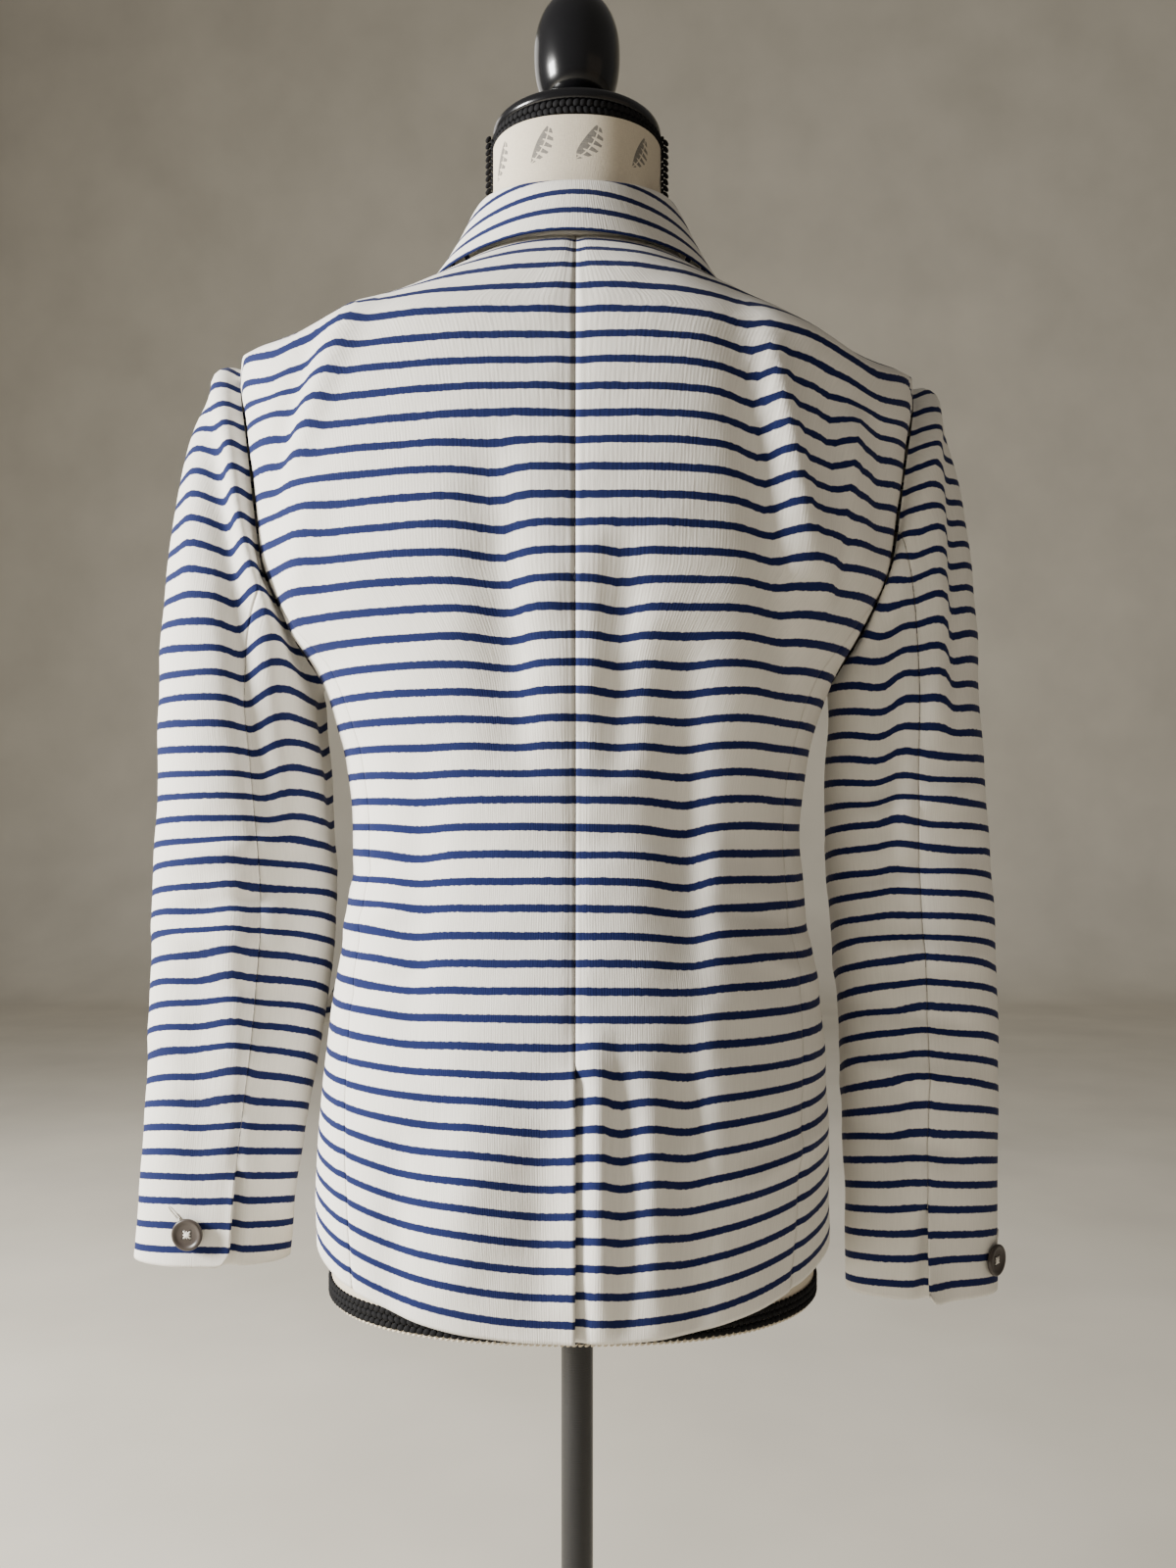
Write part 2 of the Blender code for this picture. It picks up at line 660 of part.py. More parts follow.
def dress_form(linen, braid, black):
    """The covered torso, its braids, its turned top and its stand."""
    closed_rings("form_torso", [form_ring(z) for z in column(FORM_SECTIONS, "z")], linen)
    low, high = FORM_BOTTOM_Z, FORM_BOTTOM_Z + BAND_HEIGHT
    loop = [form_ring(low, 0.0005), form_ring(high, 0.0005), form_ring(high, BAND_WALL),
            form_ring(low, BAND_WALL)]
    shape = bmesh.new()
    corners = [[shape.verts.new(settle(point)) for point in ring] for ring in loop]
    for i in range(4):
        for j in range(FORM_COLUMNS):
            k = (j + 1) % FORM_COLUMNS
            shape.faces.new((corners[i][j], corners[i][k], corners[(i + 1) % 4][k], corners[(i + 1) % 4][j]))
    bmesh.ops.recalc_face_normals(shape, faces=shape.faces)
    mesh = bpy.data.meshes.new("rim_braid")
    shape.to_mesh(mesh)
    shape.free()
    add_object("rim_braid", mesh, braid)
    mesh.set_sharp_from_angle(angle=math.radians(40.0))
    top = NECK_TOP_Z
    turned("neck_braid", ((0.0, top + 0.0085), (0.0500, top + 0.0085), (0.0535, top + 0.0060),
                          (0.0540, top + 0.0035), (0.0525, top), (0.0, top)), braid)
    turned("neck_cap", ((0.0, top + 0.0300), (0.0120, top + 0.0300), (0.0200, top + 0.0260),
                        (0.0420, top + 0.0205), (0.0505, top + 0.0175), (0.0525, top + 0.0130),
                        (0.0510, top + 0.0088), (0.0, top + 0.0088)), black)
    egg = top + 0.0303
    turned("finial", ((0.0, egg + 0.0720), (0.0110, egg + 0.0700), (0.0200, egg + 0.0610),
                      (0.0255, egg + 0.0480), (0.0267, egg + 0.0340), (0.0258, egg + 0.0190),
                      (0.0220, egg + 0.0080), (0.0150, egg + 0.0030), (0.0150, egg), (0.0, egg)), black)
    turned("base", ((0.0, BASE_HEIGHT), (0.0300, BASE_HEIGHT), (0.1300, BASE_HEIGHT * 0.72),
                    (0.1460, BASE_HEIGHT * 0.5), (BASE_RADIUS, BASE_HEIGHT * 0.25), (0.1480, 0.0),
                    (0.0, 0.0)), black, 40)
    length = FORM_BOTTOM_Z - BASE_HEIGHT - 0.0006
    bpy.ops.mesh.primitive_cylinder_add(vertices=24, radius=POLE_RADIUS, depth=length,
                                        location=(0.0, 0.0, BASE_HEIGHT + 0.0003 + length / 2.0))
    pole = bpy.context.object
    pole.name = "pole"
    pole.data.materials.append(black)
    pole.data.shade_smooth()
    pole.data.set_sharp_from_angle(angle=math.radians(40.0))
    for holder in list(pole.users_collection):
        holder.objects.unlink(pole)
    bpy.data.collections["knit_blazer"].objects.link(pole)


def cuff_button(side, finish):
    """The button on the flap of the cuff vent, facing out of the sleeve."""
    table = SLEEVE_LEFT if side > 0 else SLEEVE_RIGHT
    degrees = CUFF_BUTTON_LEFT if side > 0 else CUFF_BUTTON_RIGHT
    z = table[-1][0] + CUFF_BUTTON_RISE
    skin = tube_point(table, degrees, z)
    ahead = tube_point(table, degrees + 2.0, z) - tube_point(table, degrees - 2.0, z)
    normal = Vector((-ahead[1], ahead[0], 0.0)).normalized()
    if normal.y < 0.0:
        normal = -normal
    place = Vector(skin) + normal * (0.0012 if side > 0 else 0.0006)
    place.x *= side
    place = Vector(settle(place))
    normal.x *= side
    button("cuff_button_" + ("left" if side > 0 else "right"), place, normal, finish)


def front_button(name, z, clear, finish):
    """A button of the front closure, on the right front's lap."""
    skin = worn_point(-1, 179.9, z, 0.0012 + clear)
    facing = Vector(worn_point(-1, 179.9, z, 1.0) - worn_point(-1, 179.9, z))
    button(name, Vector(skin), facing.normalized(), finish)


def main():
    """Build every piece of the blazer and its form."""
    for leftover in list(bpy.data.objects):
        bpy.data.objects.remove(leftover, do_unlink=True)
    home = bpy.data.collections.new("knit_blazer")
    bpy.context.scene.collection.children.link(home)
    jersey = material("cream jersey", CREAM, 0.85)
    linen = material("form linen", LINEN, 0.9)
    braid = material("black braid", BLACK, 0.8)
    black = material("black gloss", BLACK, 0.25)
    horn = material("brown button", BROWN, 0.4)
    for side in (1, -1):
        back_panel(side, jersey)
        side_panel(side, jersey)
        front_panel(side, jersey)
        lapel(side, jersey)
        flap(side, jersey)
        sleeve_panel(side, True, jersey)
        sleeve_panel(side, False, jersey)
        cuff_button(side, horn)
    collar_piece("collar_stand", STAND, STAND_REACH, jersey)
    collar_piece("collar_fall", FALL, FALL_REACH, jersey)
    front_button("front_button_top", 0.725, BUTTON_CLEAR, horn)
    front_button("front_button_low", 0.640, BUTTON_CLEAR * 0.2, horn)
    dress_form(linen, braid, black)


main()
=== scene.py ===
"""Looks of the striped knit blazer on its dress form.

Each cloth panel is a thin shell on the worn surface of its solid, with the creases seen in the photograph
placed one by one. A piece's UV map holds metres across and along the knit, so that the stripes and the ribs
follow the cloth.
"""
import logging
import math
from dataclasses import dataclass, field
from enum import Enum
from functools import partial
from typing import Callable, Sequence

import bmesh
import bpy
import numpy as np
from mathutils import Matrix, Vector

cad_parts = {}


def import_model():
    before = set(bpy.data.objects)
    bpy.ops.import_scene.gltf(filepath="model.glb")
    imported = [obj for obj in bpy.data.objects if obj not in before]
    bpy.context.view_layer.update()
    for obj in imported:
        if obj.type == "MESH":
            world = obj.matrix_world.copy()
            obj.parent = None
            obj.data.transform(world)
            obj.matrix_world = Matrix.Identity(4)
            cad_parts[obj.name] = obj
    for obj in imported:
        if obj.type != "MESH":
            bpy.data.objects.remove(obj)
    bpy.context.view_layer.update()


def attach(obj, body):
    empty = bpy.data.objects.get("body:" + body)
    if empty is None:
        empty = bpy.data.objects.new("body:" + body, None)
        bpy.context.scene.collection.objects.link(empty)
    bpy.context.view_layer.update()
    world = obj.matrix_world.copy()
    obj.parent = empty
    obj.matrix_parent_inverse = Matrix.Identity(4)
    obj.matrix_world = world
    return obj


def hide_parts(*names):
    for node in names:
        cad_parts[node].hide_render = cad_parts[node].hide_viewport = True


LOG = logging.getLogger("blazer")
UV_NAME = "knit"

Colour = tuple[float, float, float, float]
Point = tuple[float, float, float]

# Cloth
CLOTH_WALL = 0.0012
STAND_WALL = 0.0015
SEAM_GAP = 0.00015
SEAM_ROLL = 0.0011
SEAM_ROLL_WIDTH = 0.0032
LAP_BLEND = 0.010
CREASE_SCALE = 1.45
SLACK = 0.55
SHOULDER_DROOP = 0.010
ROUNDNESS = 2.3
ROW_STEP = 0.0045
FINE_ROW_STEP = 0.0040

# Distance over which creases of the back fade out towards the front
FACE_BLEND = 0.02

# Steps over which the worn surface's directions are measured
TURN_STEP = 0.6
RISE_STEP = 0.002

# Stripes of the knit
STRIPE_PITCH = 0.0150
STRIPE_WIDTH = 0.0046
STRIPE_EDGE_SHAKE = 0.0011
RIB_PITCH = 0.0014
WORN_NAVY = (0.010, 0.020, 0.095, 1.0)
BODY_STRIPE_START = 0.0112
SLEEVE_STRIPE_START = 0.0070
COLLAR_STRIPE_START = 0.0140

# Heights above the floor
HEM_BACK_Z = 0.4235
HEM_SIDE_RISE = 0.030
HEM_ROW_Z = 0.410
HEM_FOLD_Z = 0.4125
VENT_TOP_Z = 0.572
BREAK_Z = 0.75
ARM_LOW_Z = 0.79
SIDE_TOP_Z = 0.844
SHOULDER_Z = 0.990
TOP_Z = 1.042
ROLL_OVER_Z = 0.90
RIGHT_SHOULDER_DROP = 0.012
RIGHT_HIP_INSET = 0.005

# Armholes and sleeves
ARM_HALF_DEPTH = 0.045
ARM_EASE = 0.0004
SLEEVE_TOP_Z = 0.775

# Edges flatter than this are shaded smooth
SMOOTH_ANGLE = math.radians(50.0)


class Side(Enum):
    """A side of the body, as the sign of its X."""
    LEFT = 1
    RIGHT = -1

    @property
    def word(self) -> str:
        """The side's name in node names."""
        return self.name.lower()


class Curve:
    """A table column read along another by a smooth curve that never overshoots."""

    SAMPLES = 1500

    def __init__(self, keys: Sequence[float], values: Sequence[float]) -> None:
        """Sample the curve densely.

        Args:
            keys: Rising places.
            values: The value at each place.
        """
        xs, ys = np.array(keys, float), np.array(values, float)
        steps = np.diff(xs)
        slopes = np.diff(ys) / steps
        tangents = np.zeros(len(xs))
        tangents[0], tangents[-1] = slopes[0], slopes[-1]
        same = slopes[:-1] * slopes[1:] > 0.0
        safe = np.where(same, slopes[:-1] + slopes[1:], 1.0)
        tangents[1:-1] = np.where(same, 2.0 * slopes[:-1] * slopes[1:] / safe, 0.0)
        self.places = np.linspace(xs[0], xs[-1], self.SAMPLES)
        i = np.clip(np.searchsorted(xs, self.places, side="right") - 1, 0, len(xs) - 2)
        t = (self.places - xs[i]) / steps[i]
        low, high, run = ys[i], ys[i + 1], steps[i]
        self.samples = ((2 * t ** 3 - 3 * t ** 2 + 1) * low + (t ** 3 - 2 * t ** 2 + t) * run * tangents[i]
                        + (3 * t ** 2 - 2 * t ** 3) * high + (t ** 3 - t ** 2) * run * tangents[i + 1])

    def __call__(self, at: np.ndarray) -> np.ndarray:
        """Read the curve at one or many places."""
        return np.interp(at, self.places, self.samples)


def curves(table: Sequence[Sequence]) -> dict[str, Curve]:
    """A curve for each column of a table whose first column rises or falls.

    Args:
        table: A row of column names, then rows of numbers.

    Returns:
        The curves by column name.
    """
    names, rows = table[0], sorted(table[1:])
    return {name: Curve([row[0] for row in rows], [row[k] for row in rows])
            for k, name in enumerate(names) if k > 0}


SECTIONS = curves((
    ("z", "half_width", "back", "front"),
    (0.410, 0.160, 0.114, 0.120),
    (0.470, 0.161, 0.119, 0.125),
    (0.530, 0.158, 0.122, 0.127),
    (0.600, 0.150, 0.117, 0.120),
    (0.660, 0.141, 0.107, 0.112),
    (0.700, 0.138, 0.102, 0.110),
    (0.740, 0.142, 0.106, 0.120),
    (0.790, 0.157, 0.115, 0.137),
    (0.820, 0.176, 0.118, 0.140),
    (0.863, 0.196, 0.121, 0.138),
    (0.935, 0.205, 0.116, 0.118),
    (0.975, 0.2075, 0.110, 0.096),
    (0.990, 0.207, 0.107, 0.086),
    (1.002, 0.165, 0.1035, 0.078),
    (1.014, 0.125, 0.099, 0.072),
    (1.026, 0.095, 0.091, 0.067),
    (1.042, 0.070, 0.073, 0.060),
))
FORM_SECTIONS = curves((
    ("z", "half_width", "back", "front"),
    (0.420, 0.1510, 0.1040, 0.109),
    (0.470, 0.1525, 0.1095, 0.115),
    (0.530, 0.1490, 0.1125, 0.117),
    (0.600, 0.1410, 0.1080, 0.110),
    (0.700, 0.1290, 0.0930, 0.099),
    (0.790, 0.1430, 0.1060, 0.124),
    (0.840, 0.1460, 0.1100, 0.127),
    (0.890, 0.1500, 0.1110, 0.121),
    (0.940, 0.1580, 0.1060, 0.104),
    (0.972, 0.1640, 0.0990, 0.088),
    (0.990, 0.1600, 0.0950, 0.079),
    (1.0035, 0.1480, 0.0910, 0.072),
    (1.0118, 0.1215, 0.0850, 0.066),
    (1.0240, 0.0915, 0.0760, 0.060),
    (1.0380, 0.0660, 0.0640, 0.053),
    (1.0500, 0.0540, 0.0540, 0.052),
    (1.0700, 0.0526, 0.0526, 0.0526),
    (1.1220, 0.0526, 0.0526, 0.0526),
))
SLEEVES = {
    Side.LEFT: curves((
        ("z", "centre_x", "centre_y", "half_x", "half_y"),
        (0.775, 0.2115, -0.001, 0.0485, 0.056),
        (0.720, 0.2095, -0.002, 0.0520, 0.050),
        (0.660, 0.2090, -0.004, 0.0570, 0.043),
        (0.600, 0.2135, -0.008, 0.0555, 0.040),
        (0.540, 0.2210, -0.013, 0.0525, 0.036),
        (0.480, 0.2295, -0.018, 0.0500, 0.030),
        (0.429, 0.2345, -0.020, 0.0500, 0.026),
    )),
    Side.RIGHT: curves((
        ("z", "centre_x", "centre_y", "half_x", "half_y"),
        (0.775, 0.2040, -0.001, 0.0460, 0.056),
        (0.720, 0.2055, -0.002, 0.0497, 0.050),
        (0.660, 0.2095, -0.004, 0.0510, 0.044),
        (0.600, 0.2148, -0.008, 0.0497, 0.041),
        (0.540, 0.2205, -0.012, 0.0495, 0.037),
        (0.475, 0.2245, -0.016, 0.0485, 0.031),
        (0.409, 0.2255, -0.019, 0.0485, 0.027),
    )),
}
CUFF_Z = {Side.LEFT: 0.429, Side.RIGHT: 0.409}
CUFF_LOOSE = {Side.LEFT: 0.0012, Side.RIGHT: 0.0085}
FLAP_LIFT = {Side.LEFT: 0.0130, Side.RIGHT: 0.0030}
BACK_SEAM_DEGREES = {Side.LEFT: 70.0, Side.RIGHT: 86.0}
FRONT_SEAM_DEGREES = -62.0
SLEEVE_TILT = Curve((0.40, 0.48, 0.58, 0.66, 0.74), (0.10, 0.22, 0.36, 0.22, 0.0))
ROLL_LINE = Curve((0.750, 0.800, 0.850, 0.930, 0.990, 1.042), (0.001, 0.012, 0.024, 0.044, 0.058, 0.067))


@dataclass(frozen=True)
class Crease:
    """A soft trough or ridge along a straight line seen from behind.

    Args:
        low: Place across and height of its lower end.
        high: Place across and height of its upper end.
        width: Half width.
        depth: Height of the ridge; a trough is negative.
        lean: How much steeper the side towards -X is than the other.
    """
    low: tuple[float, float]
    high: tuple[float, float]
    width: float
    depth: float
    lean: float = 0.0

    def at(self, x: np.ndarray, z: np.ndarray) -> np.ndarray:
        """Displacement of the cloth at places across and heights.

        Args:
            x: Places across.
            z: Heights.

        Returns:
            The crease's height at each place.
        """
        share = (z - self.low[1]) / (self.high[1] - self.low[1])
        line = self.low[0] + (self.high[0] - self.low[0]) * share
        across = (x - line) / self.width
        across = np.where(across < 0.0, across * (1.0 + self.lean), across * (1.0 - 0.5 * self.lean))
        fade = np.sin(np.pi * np.clip(share, 0.0, 1.0)) ** 0.65
        return self.depth * fade * np.exp(-across * across)


@dataclass(frozen=True)
class Drag:
    """A soft trough or ridge that runs across the cloth.

    Args:
        start: Place across and height of one end.
        end: Place across and height of the other end.
        width: Half width along the height.
        depth: Height of the ridge; a trough is negative.
    """
    start: tuple[float, float]
    end: tuple[float, float]
    width: float
    depth: float

    def at(self, x: np.ndarray, z: np.ndarray) -> np.ndarray:
        """Displacement of the cloth at places across and heights.

        Args:
            x: Places across.
            z: Heights.

        Returns:
            The crease's height at each place.
        """
        share = (x - self.start[0]) / (self.end[0] - self.start[0])
        line = self.start[1] + (self.end[1] - self.start[1]) * share
        fade = np.sin(np.pi * np.clip(share, 0.0, 1.0)) ** 0.8
        return self.depth * fade * np.exp(-((z - line) / self.width) ** 2)


BACK_CREASES = (
    Crease((0.030, 0.725), (0.046, 0.925), 0.015, -0.0045, 0.4),
    Crease((-0.022, 0.725), (-0.026, 0.870), 0.010, -0.0034),
    Crease((-0.066, 0.600), (-0.060, 0.815), 0.015, -0.0046, 0.5),
    Crease((-0.098, 0.690), (-0.090, 0.840), 0.018, 0.0025),
    Crease((-0.121, 0.770), (-0.092, 1.010), 0.010, -0.0040, 0.6),
    Crease((-0.136, 0.835), (-0.108, 0.985), 0.008, 0.0042, 0.5),
    Crease((-0.150, 0.830), (-0.142, 0.975), 0.007, -0.0035),
    Crease((-0.140, 0.820), (-0.160, 0.955), 0.008, 0.0040, 0.5),
    Crease((-0.175, 0.860), (-0.178, 0.960), 0.008, -0.0026),
    Crease((0.160, 0.900), (0.120, 1.010), 0.010, 0.0030, 0.5),
    Crease((0.178, 0.880), (0.150, 0.990), 0.008, -0.0026),
    Crease((0.165, 0.810), (0.150, 0.900), 0.012, 0.0022),
    Crease((0.095, 0.560), (0.088, 0.760), 0.016, -0.0022),
    Crease((-0.015, 0.424), (-0.012, 0.600), 0.0085, 0.0044, 0.5),
    Crease((-0.027, 0.424), (-0.024, 0.580), 0.0060, -0.0026),
    Crease((-0.045, 0.424), (-0.040, 0.575), 0.0110, 0.0036),
    Crease((-0.068, 0.424), (-0.062, 0.610), 0.0120, -0.0040, 0.5),
    Crease((0.068, 0.424), (0.052, 0.570), 0.0180, 0.0028),
    Crease((0.020, 0.424), (0.018, 0.560), 0.0130, -0.0022),
    Crease((0.104, 0.424), (0.098, 0.540), 0.0120, -0.0024),
    Drag((0.075, 0.665), (0.150, 0.640), 0.006, 0.0016),
    Drag((0.070, 0.690), (0.150, 0.672), 0.006, -0.0015),
    Drag((0.080, 0.625), (0.150, 0.600), 0.007, -0.0016),
    Drag((-0.150, 0.640), (-0.075, 0.662), 0.007, -0.0016),
    Drag((-0.150, 0.610), (-0.085, 0.640), 0.006, 0.0015),
    Drag((-0.080, 0.700), (0.020, 0.694), 0.007, -0.0011),
    Drag((-0.160, 0.530), (-0.080, 0.500), 0.008, 0.0016),
)
FRONT_CREASES = (
    Crease((0.060, 0.770), (0.100, 0.900), 0.014, -0.0028),
    Crease((-0.055, 0.760), (-0.095, 0.910), 0.013, -0.0030),
    Crease((0.045, 0.424), (0.040, 0.570), 0.013, 0.0026),
    Crease((-0.062, 0.424), (-0.058, 0.560), 0.012, 0.0028),
    Drag((0.020, 0.722), (0.130, 0.690), 0.006, 0.0018),
    Drag((-0.130, 0.684), (-0.020, 0.718), 0.006, 0.0018),
    Drag((0.020, 0.705), (0.120, 0.660), 0.006, -0.0016),
    Drag((-0.125, 0.655), (-0.020, 0.700), 0.007, -0.0017),
)
SLEEVE_CREASES = {
    Side.LEFT: (
        Crease((0.167, 0.690), (0.205, 0.985), 0.013, 0.0052, 0.0),
        Crease((0.181, 0.690), (0.217, 0.975), 0.008, -0.0044, 0.3),
        Crease((0.230, 0.830), (0.226, 0.960), 0.009, 0.0022),
        Drag((0.160, 0.700), (0.262, 0.678), 0.007, 0.0022),
        Drag((0.158, 0.668), (0.250, 0.650), 0.007, -0.0022),
        Drag((0.165, 0.632), (0.268, 0.640), 0.008, 0.0024),
        Drag((0.165, 0.600), (0.255, 0.612), 0.007, -0.0022),
        Drag((0.175, 0.560), (0.272, 0.574), 0.008, 0.0020),
        Drag((0.180, 0.525), (0.270, 0.533), 0.008, -0.0018),
        Crease((0.207, 0.500), (0.205, 0.700), 0.010, 0.0026, 0.4),
        Crease((0.235, 0.440), (0.232, 0.640), 0.013, -0.0016),
    ),
    Side.RIGHT: (
        Crease((0.210, 0.740), (0.212, 0.968), 0.010, 0.0040, 0.2),
        Crease((0.223, 0.750), (0.224, 0.960), 0.007, -0.0034, 0.3),
        Crease((0.188, 0.640), (0.196, 0.850), 0.010, 0.0032, 0.4),
        Crease((0.176, 0.700), (0.180, 0.860), 0.010, -0.0024),
        Drag((0.156, 0.705), (0.250, 0.730), 0.007, 0.0022),
        Drag((0.158, 0.672), (0.248, 0.690), 0.007, -0.0022),
        Drag((0.160, 0.635), (0.255, 0.622), 0.008, 0.0024),
        Drag((0.162, 0.598), (0.250, 0.580), 0.007, -0.0020),
        Drag((0.165, 0.560), (0.255, 0.545), 0.008, 0.0022),
        Drag((0.168, 0.520), (0.252, 0.500), 0.008, -0.0018),
        Crease((0.214, 0.430), (0.205, 0.640), 0.012, 0.0024, 0.4),
    ),
}


def creases_at(creases: Sequence[Crease | Drag], x: np.ndarray, z: np.ndarray) -> np.ndarray:
    """The sum of creases at places across and heights.

    Args:
        creases: The creases to add up.
        x: Places across.
        z: Heights.

    Returns:
        Their summed height at each place.
    """
    total = np.zeros(np.broadcast(x, z).shape)
    for crease in creases:
        total = total + CREASE_SCALE * crease.at(x, z)
    return total


def ripple(x: np.ndarray, y: np.ndarray, z: np.ndarray) -> np.ndarray:
    """Faint unevenness that all worn knit has.

    Args:
        x: Places across.
        y: Places from front to back.
        z: Heights.

    Returns:
        The cloth's height at each place.
    """
    return (0.00028 * np.sin(61.0 * x + 37.0 * z + 3.0 * np.sin(23.0 * z))
            + 0.00022 * np.sin(113.0 * z - 47.0 * y + 2.0 * np.sin(31.0 * x))
            + 0.00012 * np.sin(190.0 * x + 160.0 * z + 90.0 * y))


def soft_step(share: np.ndarray) -> np.ndarray:
    """A smooth step from 0 to 1."""
    share = np.clip(share, 0.0, 1.0)
    return share * share * (3.0 - 2.0 * share)


def ramp(value: np.ndarray, start: float, length: float) -> np.ndarray:
    """A smooth step that starts at one value and is done a length further on."""
    return soft_step((value - start) / length)


def settle(points: np.ndarray) -> np.ndarray:
    """Lower the right shoulder, round both shoulders to the back and front, bring the right hip in.

    Args:
        points: Points of the form or of its cloth.

    Returns:
        The moved points.
    """
    x, y, z = points[..., 0], points[..., 1], points[..., 2]
    across = ramp(-x, 0.05, 0.14)
    up = ramp(z, 0.82, 0.15)
    hip = ramp(-x, 0.04, 0.10) * ramp(-z, -0.62, 0.14)
    droop = ramp(np.abs(x), 0.12, 0.07) * ramp(z, 0.93, 0.05)
    droop = droop * np.minimum((y / 0.06) ** 2, 1.3)
    moved = points.copy()
    moved[..., 0] += RIGHT_HIP_INSET * hip
    moved[..., 2] -= RIGHT_SHOULDER_DROP * across * up + SHOULDER_DROOP * droop
    return moved


def power(value: np.ndarray, exponent: float) -> np.ndarray:
    """A signed power."""
    return np.sign(value) * np.abs(value) ** exponent


def ring_points(sections: dict[str, Curve], degrees: np.ndarray, z: np.ndarray) -> np.ndarray:
    """Points of sections at angles from the centre back, +X positive.

    Args:
        sections: The table's curves.
        degrees: Angles from the centre back.
        z: Heights.

    Returns:
        The points, with their coordinates last.
    """
    angle = np.radians(degrees)
    sine, cosine = np.sin(angle), np.cos(angle)
    depth = np.where(cosine > 0.0, sections["back"](z), sections["front"](z))
    x = sections["half_width"](z) * power(sine, 2.0 / ROUNDNESS)
    y = depth * power(cosine, 2.0 / ROUNDNESS)
    return np.stack(np.broadcast_arrays(x, y, z), axis=-1)


def hem_height(degrees: np.ndarray, z: np.ndarray) -> np.ndarray:
    """Rows near the hem rise at the sides.

    Args:
        degrees: Angles from the centre back.
        z: Heights of the rows.

    Returns:
        The heights with the hem's rise.
    """
    hem = HEM_BACK_Z + HEM_SIDE_RISE * np.sin(np.radians(degrees)) ** 2
    low = hem + (z - HEM_ROW_Z) / (VENT_TOP_Z - HEM_ROW_Z) * (VENT_TOP_Z - hem)
    return np.where(z >= VENT_TOP_Z, z, low)


class WornSurface:
    """The body of the blazer as it is worn."""

    def __init__(self) -> None:
        """Measure the length of cloth along the centre back."""
        zs = np.linspace(HEM_BACK_Z, TOP_Z, 800)
        lengths = np.hypot(np.diff(zs), np.diff(SECTIONS["back"](zs)))
        places = zs[::20].tolist() + [zs[-1]]
        self.back_length = Curve(places, np.interp(places, zs, np.concatenate([[0.0], np.cumsum(lengths)])))

    def points(self, degrees: np.ndarray, z: np.ndarray, out: np.ndarray) -> np.ndarray:
        """Points of the surface, moved out along its normal.

        Args:
            degrees: Angles from the centre back.
            z: Heights of the rows.
            out: How far each point stands off the surface.

        Returns:
            The points as worn.
        """
        degrees, z, out = np.broadcast_arrays(degrees, z, out)
        z = hem_height(degrees, z)
        here = ring_points(SECTIONS, degrees, z)
        read = partial(ring_points, SECTIONS)
        along = read(degrees + TURN_STEP, z) - read(degrees - TURN_STEP, z)
        up = read(degrees, z + RISE_STEP) - read(degrees, z - RISE_STEP)
        normal = np.cross(up, along)
        normal /= np.maximum(np.linalg.norm(normal, axis=-1, keepdims=True), 1e-9)
        inward = np.sum(normal[..., :2] * here[..., :2], axis=-1) < 0.0
        normal = np.where(inward[..., None], -normal, normal)
        return settle(here + normal * (self.form(here) + out)[..., None])

    def form(self, here: np.ndarray) -> np.ndarray:
        """Height of the creases at plain points of the surface.

        Args:
            here: Points of the plain surface.

        Returns:
            The creases' height at each point.
        """
        x, y, z = here[..., 0], here[..., 1], here[..., 2]
        form = creases_at(BACK_CREASES, x, z) * soft_step(y / FACE_BLEND)
        form = form + creases_at(FRONT_CREASES, x, z) * soft_step(-y / FACE_BLEND) + ripple(x, y, z)
        return form * soft_step((TOP_Z - z) / 0.03)

    def along(self, degrees: np.ndarray, z: np.ndarray) -> np.ndarray:
        """Length of cloth from the hem, along the knit, at each place.

        Args:
            degrees: Angles from the centre back.
            z: Heights of the rows.

        Returns:
            Metres along the knit at each place.
        """
        degrees, z = np.broadcast_arrays(degrees, z)
        base = self.back_length(HEM_BACK_Z + (np.minimum(z, VENT_TOP_Z) - HEM_ROW_Z)
                                / (VENT_TOP_Z - HEM_ROW_Z) * (VENT_TOP_Z - HEM_BACK_Z))
        middle = self.back_length(np.clip(z, VENT_TOP_Z, ROLL_OVER_Z)) - self.back_length(VENT_TOP_Z)
        x = np.abs(ring_points(SECTIONS, degrees, z)[..., 0])
        back = np.cos(np.radians(degrees)) > 0.0
        over = np.zeros(z.shape)
        last = None
        for share in np.linspace(0.0, 1.0, 40):
            height = ROLL_OVER_Z + (np.maximum(z, ROLL_OVER_Z) - ROLL_OVER_Z) * share
            depth = np.where(back, SECTIONS["back"](height), SECTIONS["front"](height))
            inside = np.clip(1.0 - (x / SECTIONS["half_width"](height)) ** ROUNDNESS, 0.0, 1.0)
            y = depth * inside ** (1.0 / ROUNDNESS)
            if last is not None:
                over += np.hypot(height - last[0], y - last[1])
            last = (height, y)
        return base + middle + over


WORN = WornSurface()


def armhole_angle(z: float, front: bool) -> float:
    """Angle of the armhole's edge at a height.

    Args:
        z: The height.
        front: True for the front edge, False for the back one.

    Returns:
        The angle in degrees from the centre back.
    """
    middle, half = (ARM_LOW_Z + SHOULDER_Z) / 2.0, (SHOULDER_Z - ARM_LOW_Z) / 2.0
    share = min(abs(z - middle) / half, 1.0)
    depth = float(SECTIONS["front" if front else "back"](z))
    edge = ARM_HALF_DEPTH * math.sqrt(1.0 - share * share) / depth
    degrees = math.degrees(math.acos(min(edge ** (ROUNDNESS / 2.0), 1.0)))
    return 180.0 - degrees if front else degrees


